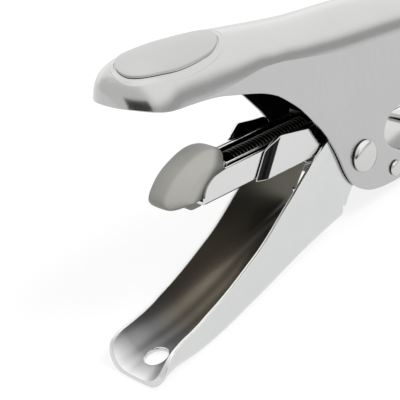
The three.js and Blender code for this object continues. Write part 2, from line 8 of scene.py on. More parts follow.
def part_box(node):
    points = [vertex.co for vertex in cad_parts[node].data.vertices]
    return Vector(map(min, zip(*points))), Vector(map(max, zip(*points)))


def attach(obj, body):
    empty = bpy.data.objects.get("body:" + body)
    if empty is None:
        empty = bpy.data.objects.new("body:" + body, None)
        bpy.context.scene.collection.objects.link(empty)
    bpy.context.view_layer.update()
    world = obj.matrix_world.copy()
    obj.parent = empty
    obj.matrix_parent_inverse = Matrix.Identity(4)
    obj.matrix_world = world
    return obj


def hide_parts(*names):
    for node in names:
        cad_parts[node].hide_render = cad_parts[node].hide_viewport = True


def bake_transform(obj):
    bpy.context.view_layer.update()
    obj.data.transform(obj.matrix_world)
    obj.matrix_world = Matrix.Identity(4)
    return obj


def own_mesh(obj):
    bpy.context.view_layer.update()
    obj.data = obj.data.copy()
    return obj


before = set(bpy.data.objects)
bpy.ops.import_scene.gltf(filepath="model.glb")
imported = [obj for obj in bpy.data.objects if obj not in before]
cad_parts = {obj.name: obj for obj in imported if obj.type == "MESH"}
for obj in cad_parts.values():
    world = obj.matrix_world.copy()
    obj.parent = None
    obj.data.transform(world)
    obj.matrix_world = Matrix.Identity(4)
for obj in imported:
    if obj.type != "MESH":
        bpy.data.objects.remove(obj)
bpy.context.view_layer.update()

# ------------------------------------------------------------------ frame
# The shapes are drawn in the tool's own working frame (millimetres, x forward,
# y left, z up, origin at the rear bottom of the magazine channel) and turned
# into the row frame with the CAD's lean.
LEAN = math.atan2(-18.2 + 46.5, 112.4 + 28.6)
CL, SL = math.cos(LEAN), math.sin(LEAN)
_lo, _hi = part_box("pivot_pin")
_c = (_lo + _hi) * 500.0
PIVOT = (62.0, -6.0)
SHX = _c.x - (PIVOT[0] * CL + PIVOT[1] * SL)
SHZ = _c.z - (-PIVOT[0] * SL + PIVOT[1] * CL)
JAW_OPEN = math.radians(11.5)


def W(x, y, z):
    return Vector((x * CL + z * SL + SHX, y, -x * SL + z * CL + SHZ)) * 0.001


def WD(x, y, z):
    return Vector((x * CL + z * SL, y, -x * SL + z * CL))


# ------------------------------------------------------------------ tables
SHELL_T, SHELL_W, PALM_W = 1.1, 12.8, 14.0
LEVER_T, LEVER_W = 1.2, 11.3
SADDLE_W, MAG_W, MAG_T, MAG_H, MAG_L = 9.7, 7.5, 1.0, 8.3, 112.0
RAIL_W, RAIL_T, RAIL_TOP = 5.4, 0.8, 8.6
BORE_R, PIN_R, GAP = 3.1, 2.7, 0.3
CROWN = [(-24.6, 41.2), (-24.0, 43.2), (-22.6, 45.0), (-20.4, 46.5), (-17.5, 47.6), (-13.5, 48.3), (-9, 48.6),
         (-4, 48.6), (2, 48.2), (9, 47.5), (18, 46.2), (28, 44.65), (38, 43.1), (48, 41.8), (58, 41.05), (70, 40.2), (82, 38.9), (93, 36.9), (103, 34.5), (112, 31.8), (119, 28.6), (123, 25), (124, 22)]
CREASE = [(-24.6, 38.3), (-22.9, 37.5), (-20.5, 36.8), (-17.35, 35.85), (-13.5, 35.0), (-9, 34.75), (-5, 34.5), (-1.6, 34.3), (6, 34.4), (13.8, 35.0), (21.8, 35.5),
          (29.9, 34.9), (38, 33.4), (45.6, 32.0), (52.9, 30.6), (65, 29.2), (85, 27.9), (100, 26.0), (112, 23.6), (119, 20.6), (124, 15.6)]
HALF = [(-12, PALM_W), (2, PALM_W), (14, 13.6), (28, SHELL_W), (124, SHELL_W)]
REAR, REAR_L, FRONT, FRONT_L = -24.6, 15.0, 124.0, 12.0
NS = 2.25
EDGE = [(-25, 37.9), (-24.3, 37.55), (-22.9, 37.2), (-20.5, 36.5), (-17.35, 35.55), (-13.5, 34.75), (-10.3, 34.5), (-3, 34.05), (4.4, 33.1),
        (11.1, 31.3), (18.7, 29.1), (24.5, 26.9), (28.3, 24.8), (32.1, 21.9), (36, 18.5), (39.8, 14.3), (43.7, 9.7), (46.7, 5.4), (49.4, 0.8),
        (51.6, -4), (53.6, -9), (56.3, -13.6), (60.5, -17), (66, -19.2), (78, -20), (88, -18.6), (91, -16.6), (90, -13.8), (85, -12.2), (78.5, -10),
        (74, -6.6), (72.4, -2.6), (74.5, 2), (81, 4.8), (94, 6.4), (108, 7.4), (116, 9.4), (121, 13.5), (124.4, 14.1)]
OVAL = (4.72, 25.1, 11.04, 10.52, 2.07, math.radians(9))
FLOOR = [(-29.5, -46.7), (-25, -45.4), (-21.7, -44.5), (-15.6, -43.3), (-9.6, -42.5), (-1.1, -40.7), (7.7, -38.1), (16.7, -35.4),
         (25.8, -32.4), (35.2, -29.4), (44.7, -26.9), (52, -25.2), (60, -24)]
FLARE = [(-29.5, 13.5), (-26, 13.0), (-22, 12.2), (-17, 11.5), (-11, LEVER_W), (130, LEVER_W)]
RIM = [(-30.5, -60), (-28.3, -45.5), (-27.7, -42.4), (-26.7, -39.8), (-25.0, -37.7), (-22.4, -36.1), (-19.6, -35.2), (-15.5, -34.1), (-11.4, -32.8),
       (-7.1, -31.0), (-2.8, -29.3), (1.6, -27.3), (6, -25.1), (10.6, -22.6), (16, -19.6), (20.7, -16.4), (26.1, -12.2), (31.8, -8.0), (38.2, -3.1),
       (43.9, 0.7), (48.3, 3.6), (54, 7.0), (62, 10), (72, 14), (85, 20), (96, 25.4), (104, 27.2), (109.4, 27.0)]
CHEEK_END = [(111, 25), (110.2, 23.0), (104, 21.6), (92, 17), (80, 9.8), (72.6, 3.4), (69.9, -2.2)]


def interp(table, x):
    n = len(table)
    if x <= table[0][0]:
        return table[0][1]
    if x >= table[-1][0]:
        return table[-1][1]
    i = 0
    while x > table[i + 1][0]:
        i += 1
    (x0, y0), (x1, y1) = table[i], table[i + 1]

    def m(j):
        if j == 0:
            return (table[1][1] - table[0][1]) / (table[1][0] - table[0][0])
        if j == n - 1:
            return (table[-1][1] - table[-2][1]) / (table[-1][0] - table[-2][0])
        a = (table[j][1] - table[j - 1][1]) / (table[j][0] - table[j - 1][0])
        b = (table[j + 1][1] - table[j][1]) / (table[j + 1][0] - table[j][0])
        return 0.0 if a * b <= 0 else 2 * a * b / (a + b)

    h = x1 - x0
    t = (x - x0) / h
    return ((2 * t ** 3 - 3 * t ** 2 + 1) * y0 + (t ** 3 - 2 * t ** 2 + t) * h * m(i)
            + (-2 * t ** 3 + 3 * t ** 2) * y1 + (t ** 3 - t ** 2) * h * m(i + 1))


def catmull(pts, step=0.8, closed=False):
    """A smooth dense polyline through the points."""
    out = []
    n = len(pts)
    last = n if closed else n - 1
    for i in range(last):
        if closed:
            p0, p1, p2, p3 = pts[(i - 1) % n], pts[i], pts[(i + 1) % n], pts[(i + 2) % n]
        else:
            p1, p2 = pts[i], pts[i + 1]
            p0 = pts[i - 1] if i else tuple(2 * a - b for a, b in zip(p1, p2))
            p3 = pts[i + 2] if i + 2 < n else tuple(2 * a - b for a, b in zip(p2, p1))
        d = [max(math.dist(a, b), 1e-6) ** 0.5 for a, b in ((p0, p1), (p1, p2), (p2, p3))]
        t0, t1 = 0.0, d[0]
        t2, t3 = t1 + d[1], t1 + d[1] + d[2]
        k = max(1, int(math.dist(p1, p2) / step))
        for s in range(k):
            t = t1 + (t2 - t1) * s / k

            def mix(a, b, ta, tb):
                return tuple(u * (tb - t) / (tb - ta) + v * (t - ta) / (tb - ta) for u, v in zip(a, b))
            a1, a2, a3 = mix(p0, p1, t0, t1), mix(p1, p2, t1, t2), mix(p2, p3, t2, t3)
            b1, b2 = mix(a1, a2, t0, t2), mix(a2, a3, t1, t3)
            out.append(mix(b1, b2, t1, t2))
    if not closed:
        out.append(tuple(pts[-1]))
    return out


def round_poly(pts, radius, k=5):
    """Rounds the corners of a closed polygon."""
    out = []
    n = len(pts)
    for i in range(n):
        a, b, c = Vector(pts[i - 1]), Vector(pts[i]), Vector(pts[(i + 1) % n])
        u, v = (a - b), (c - b)
        r = min(radius, u.length * 0.45, v.length * 0.45)
        p, q = b + u.normalized() * r, b + v.normalized() * r
        for j in range(k + 1):
            t = j / k
            out.append(tuple(p * (1 - t) ** 2 + b * 2 * t * (1 - t) + q * t ** 2))
    return out


def resample(pts, step, closed=True):
    out = []
    n = len(pts)
    for i in range(n if closed else n - 1):
        a, b = pts[i], pts[(i + 1) % n]
        k = max(1, int(round(math.dist(a, b) / step)))
        for s in range(k):
            out.append(tuple(u + (v - u) * s / k for u, v in zip(a, b)))
    if not closed:
        out.append(tuple(pts[-1]))
    return out


def area2(pts):
    return sum(pts[i][0] * pts[(i + 1) % len(pts)][1] - pts[(i + 1) % len(pts)][0] * pts[i][1] for i in range(len(pts))) / 2


def inside(p, poly):
    x, y = p
    c = False
    n = len(poly)
    j = n - 1
    for i in range(n):
        xi, yi = poly[i]
        xj, yj = poly[j]
        if (yi > y) != (yj > y) and x < (xj - xi) * (y - yi) / (yj - yi) + xi:
            c = not c
        j = i
    return c


def inset(poly, d):
    """Moves a dense closed outline towards its inside by d."""
    s = 1.0 if area2(poly) > 0 else -1.0
    n = len(poly)
    out = []
    for i in range(n):
        a, b, c = Vector(poly[i - 1]), Vector(poly[i]), Vector(poly[(i + 1) % n])
        e, f = (b - a), (c - b)
        if e.length < 1e-9:
            e = f
        if f.length < 1e-9:
            f = e
        e, f = e.normalized(), f.normalized()
        nn = Vector((-(e.y + f.y), e.x + f.x)) * s
        nn = nn.normalized() if nn.length > 1e-6 else Vector((-e.y, e.x)) * s
        k = max(0.5, nn.dot(Vector((-e.y, e.x)) * s))
        out.append(tuple(b + nn * (d / k)))
    return out


# ------------------------------------------------------------------ mesh kit
class Sheet:
    def __init__(self):
        self.v, self.f, self.key = [], [], {}
        self.m, self.cur = [], 0

    def p(self, q):
        k = (round(q[0] * 2e3), round(q[1] * 2e3), round(q[2] * 2e3))
        i = self.key.get(k)
        if i is None:
            i = len(self.v)
            self.v.append(tuple(q))
            self.key[k] = i
        return i

    def face(self, ids):
        out = []
        for i in ids:
            if not out or out[-1] != i:
                out.append(i)
        while len(out) > 1 and out[0] == out[-1]:
            out.pop()
        if len(set(out)) == len(out) and len(out) >= 3:
            self.f.append(tuple(out))
            self.m.append(self.cur)

    def grid(self, rows, wrap=False):
        ids = [[self.p(q) for q in r] for r in rows]
        for a, b in zip(ids, ids[1:]):
            n = len(a)
            for j in range(n if wrap else n - 1):
                k = (j + 1) % n
                self.face([a[j], a[k], b[k], b[j]])

    def fan(self, ring, centre):
        c = self.p(centre)
        ids = [self.p(q) for q in ring]
        for i in range(len(ids)):
            self.face([ids[i], ids[(i + 1) % len(ids)], c])

    def patch(self, loops, extra, to3d, scale=(1.0, 1.0)):
        pts, edges = [], []
        for loop in loops:
            s, n = len(pts), len(loop)
            pts += loop
            edges += [(s + i, s + (i + 1) % n) for i in range(n)]
        pts = pts + list(extra)
        vin = [Vector((a * scale[0], b * scale[1])) for a, b in pts]
        ov, _, of, orig, _, _ = delaunay_2d_cdt(vin, edges, [], 0, 1e-7)
        co = []
        for i, v in enumerate(ov):
            co.append(pts[orig[i][0]] if orig[i] else (v[0] / scale[0], v[1] / scale[1]))
        for f in of:
            c = (sum(co[i][0] for i in f) / len(f), sum(co[i][1] for i in f) / len(f))
            if inside(c, loops[0]) and not any(inside(c, h) for h in loops[1:]):
                self.face([self.p(to3d(*co[i])) for i in f])

    def rim(self, outer, inner, into, r=0.22, closed=True):
        """Rounded edge strip: outer and inner edge points, and the unit direction back into the sheet for each."""
        rows = []
        for o, i, m in zip(outer, inner, into):
            o, i, m = Vector(o), Vector(i), Vector(m)
            e = (i - o)
            t = e.length
            e = e / t if t > 1e-9 else e
            q = min(r, t * 0.45)
            row = []
            for a in (0, 30, 60, 90):
                s, c = math.sin(math.radians(a)), math.cos(math.radians(a))
                row.append(o + m * q * (1 - s) + e * q * (1 - c))
            for a in (90, 60, 30, 0):
                s, c = math.sin(math.radians(a)), math.cos(math.radians(a))
                row.append(i + m * q * (1 - s) - e * q * (1 - c))
            rows.append(row)
        if closed:
            rows.append(rows[0])
        self.grid(rows)
        return rows

    def obj(self, name, body, material, slot, node=None, angle=34.0, second=None):
        me = bpy.data.meshes.new(name)
        me.from_pydata([W(*v) for v in self.v], [], self.f)
        me.polygons.foreach_set("material_index", self.m)
        bm = bmesh.new()
        bm.from_mesh(me)
        bmesh.ops.remove_doubles(bm, verts=bm.verts, dist=4e-7)
        bmesh.ops.dissolve_degenerate(bm, dist=1e-7, edges=bm.edges)
        bmesh.ops.recalc_face_normals(bm, faces=bm.faces)
        bm.to_mesh(me)
        bm.free()
        ob = place(me, name, body, material, node, angle)
        if second:
            ob.data.materials.append(second)
        return ob


def place(me, name, body, material, node=None, angle=34.0):
    for p in me.polygons:
        p.use_smooth = True
    me.set_sharp_from_angle(angle=math.radians(angle))
    ob = bpy.data.objects.new(name, me)
    bpy.context.scene.collection.objects.link(ob)
    ob.data.materials.append(material)
    if body:
        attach(ob, body)
    if node:
        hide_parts(*([node] if isinstance(node, str) else node))
    return ob


def unit(*v):
    return Vector(v).normalized()


# ------------------------------------------------------------------ materials
def material(name, base, rough, metallic, grain=None, grain_amp=0.05, bump=0.02, tint=None, smudge=0.04, aniso=0.0, edge=None, spec=None, mottle=None):
    """Procedural finish. grain is the scale of the fine brushed noise per metre along the row's x, y and z."""
    m = bpy.data.materials.new(name)
    m.use_nodes = True
    nt = m.node_tree
    bsdf = nt.nodes["Principled BSDF"]
    bsdf.inputs["Metallic"].default_value = metallic
    if spec is not None:
        bsdf.inputs["Specular IOR Level"].default_value = spec
    if aniso:
        bsdf.inputs["Anisotropic"].default_value = aniso
    tc = nt.nodes.new("ShaderNodeTexCoord")
    # large soft smudges in colour and roughness
    big = nt.nodes.new("ShaderNodeTexNoise")
    big.inputs["Scale"].default_value = 70.0
    big.inputs["Detail"].default_value = 3.0
    nt.links.new(tc.outputs["Object"], big.inputs["Vector"])
    mp = nt.nodes.new("ShaderNodeMapping")
    mp.inputs["Rotation"].default_value = (0.0, -LEAN, 0.0)
    mp.inputs["Scale"].default_value = grain or (1200, 1200, 1200)
    nt.links.new(tc.outputs["Object"], mp.inputs["Vector"])
    fine = nt.nodes.new("ShaderNodeTexNoise")
    fine.inputs["Scale"].default_value = 1.0
    fine.inputs["Detail"].default_value = 4.0
    fine.inputs["Roughness"].default_value = 0.6
    nt.links.new(mp.outputs["Vector"], fine.inputs["Vector"])
    # colour
    ramp = nt.nodes.new("ShaderNodeMix")
    ramp.data_type = "RGBA"
    dark = tuple(c * (1 - smudge) for c in base)
    light = tint or tuple(min(1.0, c * (1 + smudge * 0.6)) for c in base)
    ramp.inputs["A"].default_value = (*dark, 1)
    ramp.inputs["B"].default_value = (*light, 1)
    nt.links.new(big.outputs["Fac"], ramp.inputs["Factor"])
    colour = ramp.outputs["Result"]
    fmix = nt.nodes.new("ShaderNodeMix")
    fmix.data_type = "RGBA"
    fmix.blend_type = "MULTIPLY"
    fr = nt.nodes.new("ShaderNodeMapRange")
    fr.inputs["From Min"].default_value = 0.3
    fr.inputs["From Max"].default_value = 0.7
    fr.inputs["To Min"].default_value = 1.0 - grain_amp * 1.2
    fr.inputs["To Max"].default_value = 1.0
    nt.links.new(fine.outputs["Fac"], fr.inputs["Value"])
    comb = nt.nodes.new("ShaderNodeCombineColor")
    for s in ("Red", "Green", "Blue"):
        nt.links.new(fr.outputs["Result"], comb.inputs[s])
    fmix.inputs["Factor"].default_value = 1.0
    nt.links.new(colour, fmix.inputs["A"])
    nt.links.new(comb.outputs["Color"], fmix.inputs["B"])
    nt.links.new(fmix.outputs["Result"], bsdf.inputs["Base Color"])
    # roughness
    rr = nt.nodes.new("ShaderNodeMapRange")
    rr.inputs["From Min"].default_value = 0.25
    rr.inputs["From Max"].default_value = 0.75
    rr.inputs["To Min"].default_value = max(0.02, rough - grain_amp)
    rr.inputs["To Max"].default_value = rough + grain_amp
    add = nt.nodes.new("ShaderNodeMath")
    add.operation = "ADD"
    sm = nt.nodes.new("ShaderNodeMapRange")
    sm.inputs["To Min"].default_value = -smudge * 0.5
    sm.inputs["To Max"].default_value = smudge * 0.5
    nt.links.new(big.outputs["Fac"], sm.inputs["Value"])
    nt.links.new(fine.outputs["Fac"], rr.inputs["Value"])
    nt.links.new(rr.outputs["Result"], add.inputs[0])
    nt.links.new(sm.outputs["Result"], add.inputs[1])
    nt.links.new(add.outputs["Value"], bsdf.inputs["Roughness"])
    # bump
    if bump:
        b = nt.nodes.new("ShaderNodeBump")
        b.inputs["Strength"].default_value = 0.5
        b.inputs["Distance"].default_value = bump * 0.001
        nt.links.new(fine.outputs["Fac"], b.inputs["Height"])
        nt.links.new(b.outputs["Normal"], bsdf.inputs["Normal"])
    return m


SATIN = material("satin_steel", (0.50, 0.505, 0.50), 0.18, 1.0, grain=(4200, 4200, 240), grain_amp=0.045, bump=0.0025, smudge=0.04)
INLAY = material("satin_inlay", (0.47, 0.47, 0.472), 0.42, 1.0, grain=(3600, 3600, 3600), grain_amp=0.03, bump=0.002, smudge=0.02)
LEVER = material("bright_lever", (0.655, 0.665, 0.66), 0.17, 1.0, grain=(300, 3600, 3600), grain_amp=0.03, bump=0.001, smudge=0.05)
CHROME = material("bright_chrome", (0.655, 0.66, 0.655), 0.09, 1.0, grain=(300, 4200, 4200), grain_amp=0.02, bump=0.0015)
PLATE = material("ground_plate", (0.58, 0.58, 0.57), 0.25, 1.0, grain=(300, 5200, 5200), grain_amp=0.06, bump=0.004)
RIVET = material("rivet_head", (0.62, 0.62, 0.61), 0.22, 1.0, grain=(1500, 1500, 1500), grain_amp=0.05, bump=0.004)
# painted shade: the wire is made near-black so the follower spring, spring rod, rod stop and pusher read as shaded
# inside the channel; the lift and return springs share it
SPRING = material("spring_wire", (0.07, 0.068, 0.065), 0.28, 1.0, grain=(2500, 2500, 2500), grain_amp=0.05, bump=0.003)
STAPLE = material("staple_wire", (0.6, 0.61, 0.62), 0.3, 1.0, grain=(2000, 60, 60), grain_amp=0.1, bump=0.05)
BLADE = material("blade_steel", (0.60, 0.60, 0.61), 0.28, 1.0, grain=(5200, 5200, 300), grain_amp=0.06, bump=0.004)
# dark inner faces of the upper shell: painted shade inside the arch
SHELL_INSIDE_SHADE = material("shell_inside_painted_shade", (0.12, 0.12, 0.115), 0.30, 1.0, grain=(2600, 2600, 260), grain_amp=0.04, bump=0.003)
TROUGH = material("trough_inside", (0.60, 0.60, 0.60), 0.36, 0.82, grain=(160, 2200, 2200), grain_amp=0.02, bump=0.0002, spec=0.25)
# painted shade and painted light: the inside of the handle is coloured light at the open end and darker and browner
# inwards, standing in for the shade and dark reflections under the upper shell
_nt = TROUGH.node_tree
_tc = _nt.nodes.new("ShaderNodeTexCoord")
_sx = _nt.nodes.new("ShaderNodeSeparateXYZ")
_nt.links.new(_tc.outputs["Object"], _sx.inputs["Vector"])
_mr = _nt.nodes.new("ShaderNodeMapRange")
_mr.inputs["From Min"].default_value = W(-30, 0, -44).x
_mr.inputs["From Max"].default_value = W(40, 0, -28).x
_nt.links.new(_sx.outputs["X"], _mr.inputs["Value"])
_rp = _nt.nodes.new("ShaderNodeValToRGB")
_e = _rp.color_ramp.elements
_e[0].position, _e[0].color = 0.0, (0.74, 0.74, 0.75, 1)
_e[1].position, _e[1].color = 1.0, (0.14, 0.13, 0.11, 1)
for _p, _c in ((0.05, (0.50, 0.50, 0.505)), (0.13, (0.20, 0.20, 0.205)), (0.24, (0.115, 0.113, 0.115)), (0.40, (0.10, 0.088, 0.07)), (0.70, (0.14, 0.122, 0.095))):
    _q = _e.new(_p)
    _q.color = (*_c, 1)
_nt.links.new(_mr.outputs["Result"], _rp.inputs["Fac"])
_bs = _nt.nodes["Principled BSDF"]
_old = _bs.inputs["Base Color"].links[0].from_node
_mix = _nt.nodes.new("ShaderNodeMix")
_mix.data_type = "RGBA"
_mix.blend_type = "MULTIPLY"
_mix.inputs["Factor"].default_value = 1.0
_nt.links.new(_rp.outputs["Color"], _mix.inputs["A"])
_sc = _nt.nodes.new("ShaderNodeMix")
_sc.data_type = "RGBA"
_sc.blend_type = "DIVIDE"
_sc.inputs["Factor"].default_value = 1.0
_sc.inputs["B"].default_value = (0.6, 0.6, 0.6, 1)
_nt.links.new(_old.outputs["Result"], _sc.inputs["A"])
_nt.links.new(_sc.outputs["Result"], _mix.inputs["B"])
_nt.links.new(_mix.outputs["Result"], _bs.inputs["Base Color"])
# near-black inner faces of the magazine channel and the follower rail: painted shade inside the channel
CHANNEL_IN_SHADE = material("channel_inside_painted_shade", (0.06, 0.06, 0.057), 0.2, 1.0, grain=(300, 4200, 4200), grain_amp=0.03, bump=0.001)
# near-black: painted shade for the saddle's joggle and the inner faces of its ears
SADDLE_SHADE = material("saddle_recess_painted_shade", (0.025, 0.025, 0.025), 0.16, 1.0, grain=(1500, 1500, 1500), grain_amp=0.02, bump=0.0006)
PLASTIC = material("grey_plastic", (0.198, 0.196, 0.182), 0.5, 0.0, grain=(5200, 5200, 5200), grain_amp=0.06, bump=0.02, smudge=0.05, spec=0.42)
HOOK = PLASTIC
PLASTIC = PLASTIC.copy()
PLASTIC.name = "grey_plastic_cap_painted_shade"
# painted shade: the cap's colour darkens towards the channel, where the channel shades it
_nt = PLASTIC.node_tree
_tc = _nt.nodes.new("ShaderNodeTexCoord")
_mp = _nt.nodes.new("ShaderNodeVectorMath")
_mp.operation = "DOT_PRODUCT"
_nt.links.new(_tc.outputs["Object"], _mp.inputs[0])
_dv = WD(1, 0, -1.1)
_mp.inputs[1].default_value = tuple(_dv)
_mr = _nt.nodes.new("ShaderNodeMapRange")
_mr.inputs["From Min"].default_value = W(-3.6, 0, 3).dot(_dv)
_mr.inputs["From Max"].default_value = W(0.9, 0, 3).dot(_dv)
_mr.inputs["To Min"].default_value = 1.0
_mr.inputs["To Max"].default_value = 0.37
_mr.interpolation_type = "SMOOTHSTEP"
_nt.links.new(_mp.outputs["Value"], _mr.inputs["Value"])
_bs = _nt.nodes["Principled BSDF"]
_old = _bs.inputs["Base Color"].links[0].from_socket
_vm = _nt.nodes.new("ShaderNodeVectorMath")
_vm.operation = "SCALE"
_nt.links.new(_old, _vm.inputs[0])
_nt.links.new(_mr.outputs["Result"], _vm.inputs["Scale"])
_nt.links.new(_vm.outputs["Vector"], _bs.inputs["Base Color"])

# ------------------------------------------------------------------ upper handle


def shell_half(x, d):
    w = interp(HALF, x) - d
    r0, r1 = REAR + d, REAR + REAR_L
    if x < r1:
        w *= max(0.0, 1 - ((r1 - x) / (r1 - r0)) ** 2.05) ** (1 / 2.05)
    f0, f1 = FRONT - FRONT_L, FRONT - d
    if x > f0:
        w *= max(0.0, 1 - ((x - f0) / (f1 - f0)) ** 3.4) ** (1 / 3.4)
    return max(w, 0.02)


def shell_levels(x, d):
    rk = max(0.0, min(1.0, (-12 - x) / 9))
    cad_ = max(0.0, min(1.0, (x - 112) / 8))
    xs = x - max(d, 0) * rk + max(d, 0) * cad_
    zc = interp(CROWN, xs) - d * (1 - 0.35 * rk)
    zk = min(interp(CREASE, xs), zc - 0.4)
    return zc, zk


def zeta0(x):
    """Share of the rounded section's height that is cut off, so that it meets the side at a crease."""
    return 0.36


def shell_point(x, t, d):
    zc, zk = shell_levels(x, d)
    w = shell_half(x, d)
    q = zeta0(x)
    e0 = (1 - q ** NS) ** (1 / NS)
    th0 = math.asin(q ** (NS / 2))
    th = th0 + (math.pi - 2 * th0) * t / math.pi
    c, s = math.cos(th), math.sin(th)
    y = math.copysign(abs(c) ** (2 / NS), c) * w / e0
    return (x, -y, zk + (max(s, 0.0) ** (2 / NS) - q) / (1 - q) * (zc - zk))


def roof(x, y, d):
    zc, zk = shell_levels(x, d)
    w = shell_half(x, d)
    q = zeta0(x)
    e0 = (1 - q ** NS) ** (1 / NS)
    k = max(0.0, 1 - (abs(y) / w * e0) ** NS) ** (1 / NS)
    return (x, y, zk + (k - q) / (1 - q) * (zc - zk))


def roof_param(p):
    x, y = p
    q = zeta0(x)
    e0 = (1 - q ** NS) ** (1 / NS)
    th0 = math.asin(q ** (NS / 2))
    c = min(1.0, abs(y) / shell_half(x, 0) * e0) ** (NS / 2)
    th = math.acos(math.copysign(c, -y))
    return (x, (th - th0) / (math.pi - 2 * th0) * math.pi)


def oval(grow, k=150):
    c, a0, a1, b, n, turn = OVAL
    out = []
    for i in range(k):
        t = i / k * math.tau
        cc, ss = math.cos(t), math.sin(t)
        u = math.copysign(abs(cc) ** (2 / n), cc) * ((a1 if cc > 0 else a0) + grow)
        v = math.copysign(abs(ss) ** (2 / n), ss) * (b + grow - (1.25 if ss < 0 else 0.1))
        out.append((c + u * math.cos(turn) - v * math.sin(turn), u * math.sin(turn) + v * math.cos(turn)))
    return out


def shell_x(i_outer, d):
    r1, f0 = REAR + REAR_L, FRONT - FRONT_L
    x = i_outer
    if x < r1:
        return r1 - (r1 - x) * (REAR_L - d) / REAR_L
    if x > f0:
        return f0 + (x - f0) * (FRONT_L - d) / FRONT_L
    return x


SPLIT_A, SPLIT_B = 28.0, 112.0
COLS = [REAR + REAR_L * (1 - math.cos(i / 16 * math.pi / 2)) for i in range(16)]
COLS += [REAR + REAR_L + (SPLIT_A - REAR - REAR_L) * i / 28 for i in range(28)]
COLS += [SPLIT_A + (SPLIT_B - SPLIT_A) * i / 46 for i in range(46)]
COLS += [SPLIT_B + FRONT_L * math.sin(i / 12 * math.pi / 2) for i in range(13)]
NROOF = 44
THETAS = [math.pi * (0.5 - 0.5 * math.copysign(abs(1 - 2 * j / NROOF) ** 0.85, 1 - 2 * j / NROOF)) for j in range(NROOF + 1)]
edge_curve = catmull(EDGE, 0.55)
left = [p for p in edge_curve if p[0] <= SPLIT_A + 0.3 and p[1] > 20]
front_tail = [p for p in edge_curve if p[0] >= SPLIT_B - 0.3]


def line_z(table, x):
    for (x0, z0), (x1, z1) in zip(table, table[1:]):
        if x0 <= x <= x1:
            return z0 + (z1 - z0) * (x - x0) / max(x1 - x0, 1e-9)
    return table[0][1] if x < table[0][0] else table[-1][1]


def edge_z(x):
    return line_z(left, x) if x < 60 else line_z(front_tail, x)


mid_curve = [(SPLIT_A, edge_z(SPLIT_A))]
started = False
for i, p in enumerate(edge_curve):
    if p[0] > SPLIT_A + 0.25 and p[1] < edge_z(SPLIT_A):
        started = True
    if started:
        if p[0] >= SPLIT_B - 0.2 and p[1] > 5:
            break
        mid_curve.append(p)
mid_curve.append((SPLIT_B, edge_z(SPLIT_B)))
NWALL = 7
RR = 0.24


OC = -2.5


